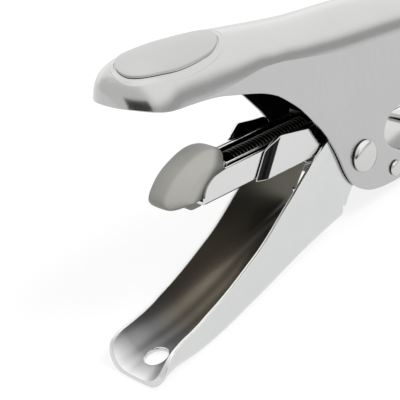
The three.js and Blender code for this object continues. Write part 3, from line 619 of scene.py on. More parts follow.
def build_shell():
    s = Sheet()
    ARM_RIVETS = [(76.5, -15.6), (85.5, -15.2)]
    lip = oval(1.72)
    x_a = max(i for i, x in enumerate(COLS) if x < -22.3)
    x_b = min(i for i, x in enumerate(COLS) if x > 18.2)
    for d in (0.0, SHELL_T):
        s.cur = 1 if d else 0

        def pt(i, j):
            return shell_point(shell_x(COLS[i], d), THETAS[j], d)
        # roof grid, with the palm's part left to the oval patch on the outside
        def strip(i0, i1):
            s.grid([[pt(i, j) for j in range(NROOF + 1)] for i in range(i0, i1 + 1)])
        if d:
            strip(0, len(COLS) - 1)
        else:
            strip(0, x_a)
            strip(x_b, len(COLS) - 1)
            loop = [(COLS[i], THETAS[0]) for i in range(x_a, x_b)]
            loop += [(COLS[x_b], THETAS[j]) for j in range(NROOF)]
            loop += [(COLS[i], THETAS[NROOF]) for i in range(x_b, x_a, -1)]
            loop += [(COLS[x_a], THETAS[j]) for j in range(NROOF, 0, -1)]

            to_param = roof_param
            hole = [to_param(q) for q in lip]
            big = [to_param(q) for q in oval(1.5)]
            extra = [(COLS[i], THETAS[j]) for i in range(x_a + 1, x_b) for j in range(1, NROOF)]
            extra = [q for q in extra if not inside(q, big)]
            extra += [to_param(q) for q in oval(1.55)]
            s.patch([loop, hole], extra, lambda x, t: shell_point(x, t, 0.0), scale=(1.0, 10.0))
        # walls below the crease
        for side, j in ((-1, 0), (1, NROOF)):
            def wall_col(i):
                top = pt(i, j)
                z1 = edge_z(COLS[i]) + RR
                return [(top[0], top[1], top[2] + (min(z1, top[2] - 0.01) - top[2]) * k / NWALL) for k in range(NWALL + 1)]
            ia = COLS.index(SPLIT_A)
            ib = len(COLS) - 13
            s.grid([wall_col(i) for i in range(0, ia + 1)])
            s.grid([wall_col(i) for i in range(ib, len(COLS))])
            y = side * (SHELL_W - d)
            loop = [(COLS[i], pt(i, j)[2]) for i in range(ia, ib)]
            loop += [(q[0], q[2]) for q in wall_col(ib)]
            inner_curve = inset_open(mid_curve, RR)
            loop += list(reversed(inner_curve[1:-1]))
            loop += [(q[0], q[2]) for q in reversed(wall_col(ia)[1:])]
            holes = [circle(PIVOT, BORE_R + 0.12, 48)] + [circle(c, 1.5, 20) for c in ARM_RIVETS]
            s.patch([loop] + holes, lattice(loop, holes, 2.6), lambda x, z: (x, y, z))
    # rims along the cut edge
    s.cur = 0
    for side, j in ((-1, 0), (1, NROOF)):
        for rng in (range(0, COLS.index(SPLIT_A) + 1), range(len(COLS) - 13, len(COLS))):
            o, n, m = [], [], []
            for i in rng:
                z = edge_z(COLS[i])
                a = shell_point(COLS[i], THETAS[j], 0.0)
                b = shell_point(shell_x(COLS[i], SHELL_T), THETAS[j], SHELL_T)
                o.append((a[0], a[1], min(z, a[2] - 0.01 - RR)))
                n.append((b[0], b[1], min(z, b[2] - 0.01 - RR)))
                m.append((0, 0, 1))
            s.rim(o, n, m, r=RR, closed=False)
        ins = inset_open(mid_curve, 1.0)
        o = [(x, side * SHELL_W, z) for x, z in mid_curve]
        n = [(x, side * (SHELL_W - SHELL_T), z) for x, z in mid_curve]
        m = [(a[0] - b[0], 0, a[1] - b[1]) for a, b in zip(ins, mid_curve)]
        s.rim(o, n, m, r=RR, closed=False)
        for c, r, k in [(PIVOT, BORE_R + 0.12, 48)] + [(c, 1.5, 20) for c in [(76.5, -15.6), (85.5, -15.2)]]:
            ring = circle(c, r, k)
            s.grid([[(x, side * SHELL_W, z) for x, z in ring], [(x, side * (SHELL_W - SHELL_T), z) for x, z in ring]], wrap=True)
    # palm pocket: rounded lip, wall and floor
    rows = [[shell_point(*roof_param(q), 0.0) for q in lip]]
    for g, d in ((1.66, 0.012), (1.60, 0.05), (1.52, 0.13), (1.44, 0.20), (1.32, 0.25), (1.1, 0.29), (0.7, 0.34), (0.38, 0.38), (0.31, 0.42), (0.30, 0.46), (0.30, 0.59)):
        rows.append([roof(*q, d) for q in oval(g)])
    base = oval(GAP)
    for k in (0.97, 0.85, 0.65, 0.45, 0.25):
        rows.append([roof(OC + (x - OC) * k, y * k, 0.6) for x, y in base])
    s.grid(rows, wrap=True)
    s.fan(rows[-1], roof(OC, 0, 0.6))
    return s


def inset_open(curve, d):
    """Moves an open curve to the material's side (left of travel is out)."""
    out = []
    for i, p in enumerate(curve):
        a = curve[max(0, i - 1)]
        b = curve[min(len(curve) - 1, i + 1)]
        t = Vector((b[0] - a[0], b[1] - a[1])).normalized()
        n = Vector((-t.y, t.x))
        if i in (0, len(curve) - 1):
            n = Vector((0, 1))
        out.append((p[0] + n.x * d, p[1] + n.y * d))
    return out


def circle(c, r, k):
    return [(c[0] + r * math.cos(i / k * math.tau), c[1] + r * math.sin(i / k * math.tau)) for i in range(k)]


def lattice(loop, holes, step):
    xs, ys = [p[0] for p in loop], [p[1] for p in loop]
    out = []
    small = inset(loop, step * 0.4)
    k = 0
    y = min(ys) + step
    while y < max(ys):
        x = min(xs) + (step if k % 2 else step / 2)
        while x < max(xs):
            if inside((x, y), loop) and inside((x, y), small) and not any(math.dist((x, y), h[0]) < 1e9 and inside((x, y), inset(h, -step * 0.4)) for h in holes):
                out.append((x, y))
            x += step
        y += step
        k += 1
    return out


shell = build_shell().obj("upper_shell_pressing", "upper", SATIN, "satin_steel", "upper_shell", second=SHELL_INSIDE_SHADE)
# the crease between the rounded top and the flat skirts stays crisp
_crease = set()
for _d in (0.0, SHELL_T):
    for _i in range(len(COLS)):
        for _j in (0, NROOF):
            _v = W(*shell_point(shell_x(COLS[_i], _d), THETAS[_j], _d))
            _crease.add(tuple(round(c * 2e5) for c in _v))
_near = [(a, b, c) for a in (-1, 0, 1) for b in (-1, 0, 1) for c in (-1, 0, 1)]
_on = []
for v in shell.data.vertices:
    _k = tuple(round(c * 2e5) for c in v.co)
    _on.append(any((_k[0] + a, _k[1] + b, _k[2] + c) in _crease for a, b, c in _near))
_sharp = shell.data.attributes.get("sharp_edge") or shell.data.attributes.new("sharp_edge", "BOOLEAN", "EDGE")
for e in shell.data.edges:
    if _on[e.vertices[0]] and _on[e.vertices[1]] and abs(shell.data.vertices[e.vertices[0]].co.y - shell.data.vertices[e.vertices[1]].co.y) < 0.003:
        e.use_edge_sharp = True


def build_inlay():
    s = Sheet()
    rows = []
    edge_ = oval(-0.30)
    for k in (0.2, 0.4, 0.6, 0.75, 0.88, 0.96, 1.0):
        rows.append([roof(OC + (x - OC) * k, y * k, -0.16) for x, y in edge_])
    for g, d in ((-0.18, -0.15), (-0.09, -0.125), (-0.03, -0.07), (0.0, 0.02), (0.0, 0.3)):
        rows.append([roof(*q, d) for q in oval(g)])
    for k in (0.8, 0.5, 0.25):
        rows.append([roof(OC + (x - OC) * k, y * k, 0.3) for x, y in oval(0.0)])
    s.grid(rows, wrap=True)
    s.fan(rows[0], roof(OC, 0, -0.16))
    s.fan(rows[-1], roof(OC, 0, 0.3))
    return s


build_inlay().obj("palm_oval_plate", "upper", INLAY, "satin_steel", "palm_inlay")

# ------------------------------------------------------------------ lower handle
LSPLIT, LEND = 40.0, 52.4
X0, XE, PE = -24.79, -28.84, 2.73


def sm(t):
    t = max(0.0, min(1.0, t))
    return t * t * (3 - 2 * t)


def lever_section(x, d, top=60.0):
    """Half section from the centre outwards as (y, z). The inside corner is wider than the outside one."""
    k = sm((-12 - x) / 14)
    zf = interp(FLOOR, x) + 0.11 * k + d * 1.04
    w = interp(FLARE, x) - 0.21 * k - d
    if d:
        r = 3.2 + (TROUGH_R - 3.2) * sm((38 - x) / 26)
    else:
        r = 4.4 + (7.23 - 4.4) * k
    out = [((w - r) * i / 16, zf) for i in range(17)]
    for i in range(1, 25):
        a = i / 24 * math.pi / 2
        out.append((w - r + r * math.sin(a), zf + r - r * math.cos(a)))
    out.append((w, top))
    return out


TROUGH_R = 8.6


def floor_z(x, y, d):
    k = sm((-12 - x) / 14)
    zf = interp(FLOOR, x) + 0.11 * k + d * 1.04
    w = interp(FLARE, x) - 0.21 * k - d
    r = (3.2 + (TROUGH_R - 3.2) * sm((38 - x) / 26)) if d else (4.4 + (7.23 - 4.4) * k)
    e = max(0.0, abs(y) - (w - r))
    return zf + r - math.sqrt(max(0.0, r * r - e * e))


def lengths(pts):
    ln = [0.0]
    for a, b in zip(pts, pts[1:]):
        ln.append(ln[-1] + math.dist(a, b))
    return ln


def at_length(pts, ln, t):
    k = 0
    while k < len(ln) - 2 and ln[k + 1] < t:
        k += 1
    u = min(1.0, (t - ln[k]) / max(ln[k + 1] - ln[k], 1e-9))
    return (pts[k][0] + (pts[k + 1][0] - pts[k][0]) * u, pts[k][1] + (pts[k + 1][1] - pts[k][1]) * u)


def length_to(pts, z):
    t = 0.0
    for a, b in zip(pts, pts[1:]):
        if b[1] > z:
            return t + math.dist(a, b) * max(0.0, (z - a[1]) / (b[1] - a[1]))
        t += math.dist(a, b)
    return t


def nearest_length(pts, q, t_hint):
    ln = lengths(pts)
    best = None
    lo, hi = max(0.0, t_hint - 6), t_hint + 6
    for step in range(3):
        n = 24
        cand = [lo + (hi - lo) * i / n for i in range(n + 1)]
        best = min(cand, key=lambda t: math.dist(at_length(pts, ln, t), q))
        w = (hi - lo) / n
        lo, hi = max(0.0, best - w), best + w
    return best


def even(pts, total, n):
    ln = lengths(pts)
    return [at_length(pts, ln, total * i / n) for i in range(n + 1)]


LO0 = length_to(lever_section(X0, 0.0), interp(RIM, X0))
DLO = (length_to(lever_section(X0 + 0.5, 0.0), interp(RIM, X0 + 0.5)) - LO0) / 0.5
RL = 0.26


def edge_limit(x, u=None):
    """Length along the outer half section at which the cut edge lies."""
    if u is None:
        return length_to(lever_section(x, 0.0), interp(RIM, x))
    return (LO0 + DLO * (x - X0)) * max(0.0, 1 - u ** PE) ** (1 / PE)


def lever_column(x_body, x_edge, d, n, u=None):
    """Body points of a column, and the edge point that they lead to."""
    so = lever_section(x_edge, 0.0)
    to = edge_limit(x_edge, u)
    eo = at_length(so, lengths(so), to)
    sec = lever_section(x_edge, d)
    te = to if not d else nearest_length(sec, eo, to - d)
    if u is not None and u > 0.999:
        te = 0.0
    ep = at_length(sec, lengths(sec), te)
    back = RL if u is None else RL * max(0.0, 1 - u ** PE) ** (1 / PE)
    body = even(lever_section(x_body, d), max(te - back, 0.0), n)
    return body, ep


def build_lever():
    s = Sheet()
    N = 40
    END = 16
    cols, edges, us = [], [], []
    for i in range(END):
        u = math.sin((1 - i / END) * math.pi / 2)
        us.append(u)
        edges.append(X0 - (X0 - XE) * u)
        cols.append(X0 - (X0 - XE - RL) * u)
    k = 52
    for i in range(k + 1):
        x = X0 + (LSPLIT - X0) * i / k
        cols.append(x)
        edges.append(x)
        us.append(None)
    tail = [LSPLIT + (LEND - LSPLIT) * i / 9 for i in range(1, 10)]
    hole_c, hole_r = (-19.7, 0.0), 3.65
    hx0 = max(i for i, x in enumerate(cols) if x < hole_c[0] - 4.6)
    hx1 = min(i for i, x in enumerate(cols) if x > hole_c[0] + 4.6)
    data = {}
    for d in (0.0, LEVER_T):
        s.cur = 1 if d else 0
        secs, ends = {}, {}
        for i in range(len(cols)):
            secs[i], ends[i] = lever_column(cols[i], edges[i], d, N, us[i])
        data[d] = (secs, ends)
        base = secs[len(cols) - 1]
        if d == 0.0:
            kk = min(i for i, p in enumerate(base) if p[1] >= interp(FLOOR, LSPLIT) + 5.2)
        split_z = base[kk][1]
        hy = lambda i, j: secs[i][j][0]
        hole_cell = lambda i, j: hx0 <= i < hx1 and max(hy(i, j + 1), hy(i + 1, j + 1)) < 5.4 and secs[i][j][1] < interp(FLOOR, cols[i]) + 4
        for side in (-1, 1):
            for i in range(len(cols) - 1):
                for j in range(N):
                    if hole_cell(i, j):
                        continue
                    s.face([s.p((cols[a], side * secs[a][b][0], secs[a][b][1])) for a, b in ((i, j), (i + 1, j), (i + 1, j + 1), (i, j + 1))])
        # the block round the hanging hole
        jmax = {i: max(j for j in range(N) if hole_cell(i, j)) + 1 for i in range(hx0, hx1)}
        path = [(cols[hx0], secs[hx0][j][0]) for j in range(0, jmax[hx0] + 1)]
        for i in range(hx0 + 1, hx1):
            a, b = jmax[i - 1], jmax[i]
            step = 1 if b >= a else -1
            path += [(cols[i], secs[i][j][0]) for j in range(a, b + step, step)]
        path += [(cols[hx1], secs[hx1][j][0]) for j in range(jmax[hx1 - 1], -1, -1)]
        loop = []
        for q in path:
            if not loop or math.dist(loop[-1], q) > 1e-6:
                loop.append(q)
        loop = loop + [(x, -y) for x, y in reversed(loop[1:-1])]
        known = {}
        for i in range(hx0, hx1 + 1):
            for j in range(N + 1):
                known[(round(cols[i], 5), round(secs[i][j][0], 5))] = secs[i][j][1]

        def floor3(x, y):
            z = known.get((round(x, 5), round(abs(y), 5)))
            return (x, y, floor_z(x, y, d) if z is None else z)
        ring = circle(hole_c, hole_r + 0.28, 64)
        extra = [(hole_c[0] + (hole_r + 0.28 + e) * math.cos(a / 44 * math.tau), (hole_r + 0.28 + e) * math.sin(a / 44 * math.tau)) for e in (0.35, 0.8) for a in range(44)]
        extra = [q for q in extra if inside(q, inset(loop, 0.3))]
        s.patch([loop, ring], extra, floor3)
        # front part of the floor between the cheeks
        fs = [base[:kk + 1]]
        for x in tail:
            sec = lever_section(x, d)
            z = split_z + (interp(FLOOR, x) - interp(FLOOR, LSPLIT))
            fs.append(even(sec, length_to(sec, z), kk))
        xs = [LSPLIT] + tail
        for side in (-1, 1):
            s.grid([[(x, side * y, z) for y, z in sec] for x, sec in zip(xs, fs)])
        # flat cheeks
        top_curve = [p for p in catmull(RIM, 0.8) if p[0] > LSPLIT + 0.3]
        lobe = [(PIVOT[0] + 8 * math.cos(a), PIVOT[1] + 8 * math.sin(a)) for a in [0.35 - i / 14 * 2.3 for i in range(1, 15)]]
        down = catmull([(109.4, 27.0)] + CHEEK_END, 0.8)[1:]
        tail_pts = catmull([lobe[-1], (55.6, -17.6), (53.5, -20.4), (LEND + 0.0, fs[-1][-1][1])], 0.8)[1:-1]
        curve = [(LSPLIT, interp(RIM, LSPLIT))] + top_curve + down + lobe + tail_pts + [(LEND, fs[-1][-1][1])]
        ins = inset_cw(curve, RL)
        loop = ins + [(x, sec[-1][1]) for x, sec in reversed(list(zip(xs, fs))[:-1])]
        loop += [(LSPLIT, p[1]) for p in base[kk + 1:-1]]
        holes = [circle(PIVOT, BORE_R, 40)]
        for side in (-1, 1):
            y = side * (LEVER_W - d)
            s.patch([loop] + holes, lattice(loop, holes, 2.6), lambda x, z: (x, y, z))
        if d == 0.0:
            keep = (curve, inset_cw(curve, 1.0), xs, fs)
        else:
            fi = fs
    curve, ins1, xs, fo = keep
    s.cur = 0
    for side in (-1, 1):
        o = [(x, side * LEVER_W, z) for x, z in curve]
        n = [(x, side * (LEVER_W - LEVER_T), z) for x, z in curve]
        m = [(a[0] - b[0], 0, a[1] - b[1]) for a, b in zip(ins1, curve)]
        s.rim(o, n, m, r=RL, closed=False)
        s.grid([[(LEND, side * y, z) for y, z in fo[-1]], [(LEND, side * y, z) for y, z in fi[-1]]])
        ring = circle(PIVOT, BORE_R, 40)
        s.grid([[(x, side * LEVER_W, z) for x, z in ring], [(x, side * (LEVER_W - LEVER_T), z) for x, z in ring]], wrap=True)
        # rim of the trough, round the open end
        rows = []
        for i in range(len(cols)):
            (oy, oz), (py, pz) = data[0.0][1][i], data[0.0][0][i][-1]
            (iy, iz), (qy, qz) = data[LEVER_T][1][i], data[LEVER_T][0][i][-1]
            O, P = Vector((edges[i], side * oy, oz)), Vector((cols[i], side * py, pz))
            I, Q = Vector((edges[i], side * iy, iz)), Vector((cols[i], side * qy, qz))
            e = (I - O).normalized()
            row = []
            for a in (0, 30, 60, 90):
                sn, cs = math.sin(math.radians(a)), math.cos(math.radians(a))
                row.append(O + (P - O) * (1 - sn) + e * RL * (1 - cs))
            for a in (90, 60, 30, 0):
                sn, cs = math.sin(math.radians(a)), math.cos(math.radians(a))
                row.append(I + (Q - I) * (1 - sn) - e * RL * (1 - cs))
            rows.append(row)
        s.grid(rows)
    # the hole's edge, slightly rounded
    rows = []
    for rr, k in ((hole_r + 0.28, 0.0), (hole_r + 0.10, 0.06), (hole_r, 0.25), (hole_r, 0.75), (hole_r + 0.10, 0.94), (hole_r + 0.28, 1.0)):
        rows.append([(x, y, floor_z(x, y, 0.0) * (1 - k) + floor_z(x, y, LEVER_T) * k) for x, y in circle(hole_c, rr, 64)])
    s.grid(rows, wrap=True)
    return s


def inset_cw(curve, d):
    out = []
    for i, p in enumerate(curve):
        a = curve[max(0, i - 1)]
        b = curve[min(len(curve) - 1, i + 1)]
        t = Vector((b[0] - a[0], b[1] - a[1])).normalized()
        n = Vector((t.y, -t.x))
        if i == 0:
            n = Vector((0, -1))
        if i == len(curve) - 1:
            n = Vector((0, 0))
        out.append((p[0] + n.x * d, p[1] + n.y * d))
    return out


lever = build_lever()
lever_obj = lever.obj("lower_handle_pressing", "lever", LEVER, "polished_steel", "lower_lever", second=TROUGH)


# ------------------------------------------------------------------ bodies of revolution, tubes
def lathe(name, body, mat, slot, node, prof, centre, axis, k=48, angle=34.0):
    """prof is a list of (radius, height along axis), in mm, from one end on the axis to the other."""
    axis = Vector(axis).normalized()
    a = axis.orthogonal().normalized()
    b = axis.cross(a)
    c = Vector(centre)
    s = Sheet()
    rows = [[c + axis * h + (a * math.cos(i / k * math.tau) + b * math.sin(i / k * math.tau)) * r for i in range(k)] for r, h in prof if r > 1e-6]
    s.grid(rows, wrap=True)
    s.fan(rows[0], c + axis * prof[0][1])
    s.fan(rows[-1], c + axis * prof[-1][1])
    return s.obj(name, body, mat, slot, node, angle)


def tube_mesh(name, body, mat, slot, node, pts, r, k=10):
    s = Sheet()
    pts = [Vector(p) for p in pts]
    t = (pts[1] - pts[0]).normalized()
    n = t.orthogonal().normalized()
    rows = []
    for i, p in enumerate(pts):
        a, b = pts[max(0, i - 1)], pts[min(len(pts) - 1, i + 1)]
        t2 = (b - a).normalized()
        n = (n - t2 * n.dot(t2)).normalized()
        q = t2.cross(n)
        rows.append([p + (n * math.cos(j / k * math.tau) + q * math.sin(j / k * math.tau)) * r for j in range(k)])
    s.grid(rows, wrap=True)
    s.fan(rows[0], pts[0])
    s.fan(rows[-1], pts[-1])
    return s.obj(name, body, mat, slot, node, 50.0)


PIN_PROF = [(0, -15.2), (1.4, -15.18), (2.6, -15.05), (3.7, -14.8), (4.6, -14.4), (5.0, -14.0), (5.2, -13.6), (5.15, -13.25), (4.9, -13.12), (PIN_R, -13.1)]
PIN_PROF = PIN_PROF + [(r, -h) for r, h in reversed(PIN_PROF)]
lathe("main_pin", "upper", RIVET, "rivet_steel", "pivot_pin", PIN_PROF, (PIVOT[0], 0, PIVOT[1]), (0, 1, 0), 56)
for i, (x, z) in enumerate([(76.5, -15.6), (85.5, -15.2)]):
    for side, sg in (("right", -1), ("left", 1)):
        prof = [(0, 8.6), (1.7, 8.65), (2.0, 8.9), (2.0, 9.5), (1.9, 9.68), (1.2, 9.7), (1.2, 13.1), (2.4, 13.1), (2.6, 13.25), (2.5, 13.55), (2.1, 13.85), (1.4, 14.08), (0.7, 14.18), (0, 14.2)]
        nm = f"arm_rivet_{side}_{'front' if i else 'rear'}"
        lathe(nm + "_head", "upper", RIVET, "rivet_steel", nm, prof, (x, 0, z), (0, sg, 0), 32)


def tilt_point(x, z):
    dx, dz, c, s = x - PIVOT[0], z - PIVOT[1], math.cos(JAW_OPEN), math.sin(JAW_OPEN)
    return PIVOT[0] + dx * c + dz * s, PIVOT[1] - dx * s + dz * c


for i, x in enumerate((101, 107)):
    px, pz = tilt_point(x, 0.0)
    ax = (math.sin(JAW_OPEN), 0, math.cos(JAW_OPEN))
    lathe(f"anvil_rivet_{'front' if i else 'rear'}_pin", "upper", RIVET, "rivet_steel", f"anvil_rivet_{'front' if i else 'rear'}",
          [(0, -4.6), (1.4, -4.55), (1.9, -4.3), (2.1, -4.0), (2.05, -3.82), (1.0, -3.78), (1.0, -0.75), (0.85, -0.66), (0, -0.65)], (px, 0, pz), ax, 28)

# springs
liftX, z0, z1 = 75.2, -10.0, -0.95
pts = []
for i in range(201):
    t = i / 200
    a = t * math.tau * 5
    pts.append((liftX + 2.6 * math.cos(a), 2.6 * math.sin(a), z0 + (z1 - z0) * min(1, max(0, (t - 0.06) / 0.88))))
lift = tube_mesh("lift_spring_wire", "upper", SPRING, "spring_steel", "lift_spring", pts, 0.42, 10)
pts = []
turns = 24
for i in range(turns * 28 + 1):
    t = i / (turns * 28)
    a = t * math.tau * turns
    pts.append((17.0 + 32.4 * t, 3.2 * math.cos(a), 5.75 + 3.2 * math.sin(a)))
follower = tube_mesh("follower_spring_wire", "follower", SPRING, "spring_steel", "follower_spring", pts, 0.25, 8)
rsR = 3.85
a0 = math.pi + 0.607
a1 = -4.75 * math.tau + a0
target = math.atan2(0.98, 0.2)
end = a1 - math.fmod(a1 - target, math.tau)
pts = []
for i in range(14):
    k = i / 14
    p0, p1 = Vector((48.2, -5.2, -20.6)), Vector((PIVOT[0] - rsR * 0.82, -5.2, PIVOT[1] - rsR * 0.57))
    pts.append(tuple(p0.lerp(p1, k)))
for i in range(181):
    k = i / 180
    a = a0 + (end - a0) * k
    pts.append((PIVOT[0] + rsR * math.cos(a), -5.2 + 10.4 * k, PIVOT[1] + rsR * math.sin(a)))
for i in range(1, 11):
    p0, p1 = Vector((PIVOT[0] + rsR * 0.2, 5.2, PIVOT[1] + rsR * 0.98)), Vector((PIVOT[0] + 8.2, 5.2, -1.05))
    pts.append(tuple(p0.lerp(p1, i / 10)))
ret = tube_mesh("return_spring_wire", None, SPRING, "spring_steel", "return_spring", pts, 0.55, 10)

# spring rod with rounded ends
lathe("spring_rod_bar", "follower", SPRING, "spring_steel", "spring_rod",
      [(0, 16.5), (0.5, 16.55), (0.75, 16.8), (0.8, 17.1), (0.8, 105.6), (0.75, 105.9), (0.5, 106.15), (0, 106.2)], (0, 0, 5.0), (1, 0, 0), 20)


# ------------------------------------------------------------------ folded channels
def channel(name, body, mat, slot, node, x0, x1, half, floor, t, r, rim, r_edge=0.16, cols=60, n=22, angle=34.0, notch=0.0):
    s = Sheet()
    xs = [x0 + (x1 - x0) * (i / cols) ** 1.0 for i in range(cols + 1)]
    extra = [p[0] for p in rim if x0 < p[0] < x1]
    xs = sorted(set([round(v, 4) for v in xs] + [round(v, 4) for v in extra]))

    def section(d):
        out = [((half - r) * i / 8, floor + d) for i in range(9)]
        rr = max(r - d, 0.12)
        w = half - d
        base = w - rr
        out = [(base * i / 8, floor + d) for i in range(9)]
        for i in range(1, 7):
            a = i / 6 * math.pi / 2
            out.append((base + rr * math.sin(a), floor + d + rr - rr * math.cos(a)))
        return out, w
    keep = {}
    for d in (0.0, t):
        s.cur = 1 if d else 0
        bot, w = section(d)
        for side in (-1, 1):
            rows = []
            for x in xs:
                top = interp(rim, x) - r_edge
                z_c = bot[-1][1]
                if top <= z_c:
                    top = z_c + 0.001
                def at(y):
                    f = 1.0 - max(0.0, min(1.0, (y - 6.2) / 0.25))
                    g = max(0.0, min(1.0, (x - x1 + 8) / 6)) if notch else 0.0
                    return x - notch * f * g
                row = [(at(y), side * y, z) for y, z in bot] + [(x, side * w, z_c + (top - z_c) * i / n) for i in range(1, n + 1)]
                rows.append(row)
            s.grid(rows)
            keep[(d, side)] = rows
    s.cur = 0
    for side in (-1, 1):
        o = [(x, side * half, max(interp(rim, x), keep[(0.0, side)][i][-1][2] + r_edge)) for i, x in enumerate(xs)]
        q = [(x, side * (half - t), max(interp(rim, x), keep[(0.0, side)][i][-1][2] + r_edge)) for i, x in enumerate(xs)]
        s.rim(o, q, [(0, 0, -1)] * len(xs), r=r_edge, closed=False)
        # ends
        for col in (0, -1):
            a, b = keep[(0.0, side)][col], keep[(t, side)][col]
            s.grid([a, b])
            # close the top of the end strip
            top = [o[col], q[col]]
            rimrow = []
            O, I = Vector(o[col]), Vector(q[col])
            e = (I - O).normalized()
            for ang in (0, 30, 60, 90):
                sn, cs = math.sin(math.radians(ang)), math.cos(math.radians(ang))
                rimrow.append(O + Vector((0, 0, -1)) * r_edge * (1 - sn) + e * r_edge * (1 - cs))
            for ang in (90, 60, 30, 0):
                sn, cs = math.sin(math.radians(ang)), math.cos(math.radians(ang))
                rimrow.append(I + Vector((0, 0, -1)) * r_edge * (1 - sn) - e * r_edge * (1 - cs))
            s.face([s.p(v) for v in rimrow])
    return s.obj(name, body, mat, slot, node, angle, second=CHANNEL_IN_SHADE)


CH_RIM = [(0, 2.4), (0.35, 3.5), (1.1, 4.7), (2.0, 5.75), (3.0, 6.5), (4.0, 7.1), (5.1, 7.55), (7.5, 8.0), (10, MAG_H), (MAG_L, MAG_H)]
channel("magazine_channel_pressing", "magazine", CHROME, "chromed_steel", "magazine_channel", 0.0, MAG_L, MAG_W, 0.0, MAG_T, 1.35, CH_RIM, 0.18, 70, notch=2.0)
channel("follower_rail_pressing", "follower", CHROME, "chromed_steel", "follower_rail", 11.2, 108.6, RAIL_W, MAG_T + GAP, RAIL_T, 1.1,
        [(11.2, 7.9), (11.6, 8.4), (12.2, RAIL_TOP), (108.6, RAIL_TOP)], 0.14, 40)

# ------------------------------------------------------------------ saddle with the stepped ears
EAR = [(19.6, 0.0), (24.5, 8.1), (27.3, 9.9), (30.2, 11.6), (42.4, 9.5), (45.8, 3.4), (47.5, 2.4), (60, 2.2), (70, 0.6), (71, -3),
       (69.5, -8.5), (66, -12), (62, -13), (58, -12), (54.5, -8.5), (53.5, -3.4), (51.8, -1.5), (45.0, -1.5), (44.0, 0.0)]
SHEAR = 0.6


def ear_y(x, z, inner):
    q = x - SHEAR * z
    a = MAG_W + GAP if inner else MAG_W + GAP + 0.3
    b = SADDLE_W - 1.2 if inner else SADDLE_W
    c0, c1 = (20.3, 23.9) if inner else (19.7, 23.3)
    t = max(0.0, min(1.0, (q - c0) / (c1 - c0)))
    return a + (b - a) * t * t * (3 - 2 * t)


def build_saddle():
    s = Sheet()
    outline = resample(round_poly(EAR, 0.9, 4), 0.7)
    r = 0.2
    ins = inset(outline, r)
    hole = circle(PIVOT, BORE_R, 40)
    extra = []
    for i in range(0, 22):
        q = 19.8 + 4.6 * i / 21
        for j in range(0, 20):
            z = 0.5 + j * 0.6
            if inside((q + SHEAR * z, z), inset(ins, 0.3)):
                extra.append((q + SHEAR * z, z))
    extra += [p for p in lattice(ins, [hole], 2.2) if p[0] - SHEAR * p[1] > 24.8]
    for side in (-1, 1):
        for inner in (False, True):
            first = len(s.f)
            s.patch([ins, hole], extra, lambda x, z: (x, side * ear_y(x, z, inner), z))
            # the joggle and the inner faces take the second, near-black material as painted shade
            for k in range(first, len(s.f)):
                qs = [s.v[i][0] - SHEAR * s.v[i][2] for i in s.f[k]]
                if inner or sum(qs) / len(qs) < 23.2:
                    s.m[k] = 1
        ins1 = inset(outline, 1.0)
        o = [(x, side * ear_y(x, z, False), z) for x, z in outline]
        n = [(x, side * ear_y(x, z, True), z) for x, z in outline]
        rows = []
        for k, (x, z) in enumerate(outline):
            o_in = Vector((ins[k][0], side * ear_y(*ins[k], False), ins[k][1]))
            i_in = Vector((ins[k][0], side * ear_y(*ins[k], True), ins[k][1]))
            O, I = Vector(o[k]), Vector(n[k])
            e = (I - O)
            t = e.length
            e.normalize()
            q = min(r, t * 0.4)
            row = []
            for a in (0, 30, 60, 90):
                sn, cs = math.sin(math.radians(a)), math.cos(math.radians(a))
                row.append(o_in.lerp(O, sn) + e * q * (1 - cs))
            for a in (90, 60, 30, 0):
                sn, cs = math.sin(math.radians(a)), math.cos(math.radians(a))
                row.append(i_in.lerp(I, sn) - e * q * (1 - cs))
            rows.append(row)
        rows.append(rows[0])
        s.grid(rows)
        s.grid([[(x, side * SADDLE_W, z) for x, z in hole], [(x, side * (SADDLE_W - 1.2), z) for x, z in hole]], wrap=True)
    # cross plate under the channel
    b = [(x, y, z) for x in (45.7, 51.5) for y in (-SADDLE_W + 0.5, SADDLE_W - 0.5) for z in (-1.5, -0.3)]
    for f in ((0, 1, 3, 2), (4, 6, 7, 5), (0, 4, 5, 1), (2, 3, 7, 6), (0, 2, 6, 4), (1, 5, 7, 3)):
        s.face([s.p(b[i]) for i in f])
    return s


build_saddle().obj("magazine_saddle_pressing", "magazine", CHROME, "chromed_steel", "magazine_saddle", 30.0, second=SADDLE_SHADE)

# ------------------------------------------------------------------ end cap
CAP = [(-12.2, 3.7), (-11.7, 5.5), (-10.4, 7.3), (-8.4, 9.4), (-5.8, 11.3), (-2.4, 12.9), (1.2, 14.2), (4.7, 14.8), (8.7, 14.3), (11.4, 12.9),
       (12.3, 11.1), (11.9, 9.4), (10.4, 7.6), (9.4, 5.2), (8.6, 3.2), (6.4, 2.0), (1.4, 1.5), (-3.0, 0.9), (-8.0, 0.8), (-11.0, 1.9)]
CAP_HALF = [(0, 1.0), (1.2, 0.999), (2.2, 0.995), (2.9, 0.988), (3.3, 0.978), (3.6, 0.964), (3.85, 0.942), (4.1, 0.911), (4.45, 0.862), (4.9, 0.797), (5.35, 0.73), (5.7, 0.675),
            (5.95, 0.63), (6.12, 0.592), (6.2, 0.565)]


def build_cap():
    s = Sheet()
    cx, cz = 4.5, 3.2
    ring = catmull(CAP, 0.6, closed=True)
    rows = []
    steps = []
    prev = None
    for y, k in CAP_HALF:
        if prev:
            for t in (0.5,):
                steps.append((prev[0] + (y - prev[0]) * t, prev[1] + (k - prev[1]) * t))
        steps.append((y, k))
        prev = (y, k)
    full = [(-y, k) for y, k in reversed(steps[1:])] + steps
    for y, k in full:
        row = []
        for x, z in ring:
            px, pz = cx + (x - cx) * k, cz + (z - cz) * k
            if x > -1.5:
                pz = max(pz, 1.35)
            row.append((px, y, pz))
        rows.append(row)
    s.grid(rows, wrap=True)
    s.fan(rows[0], (cx, -6.2, cz + 1.0))
    s.fan(rows[-1], (cx, 6.2, cz + 1.0))
    return s


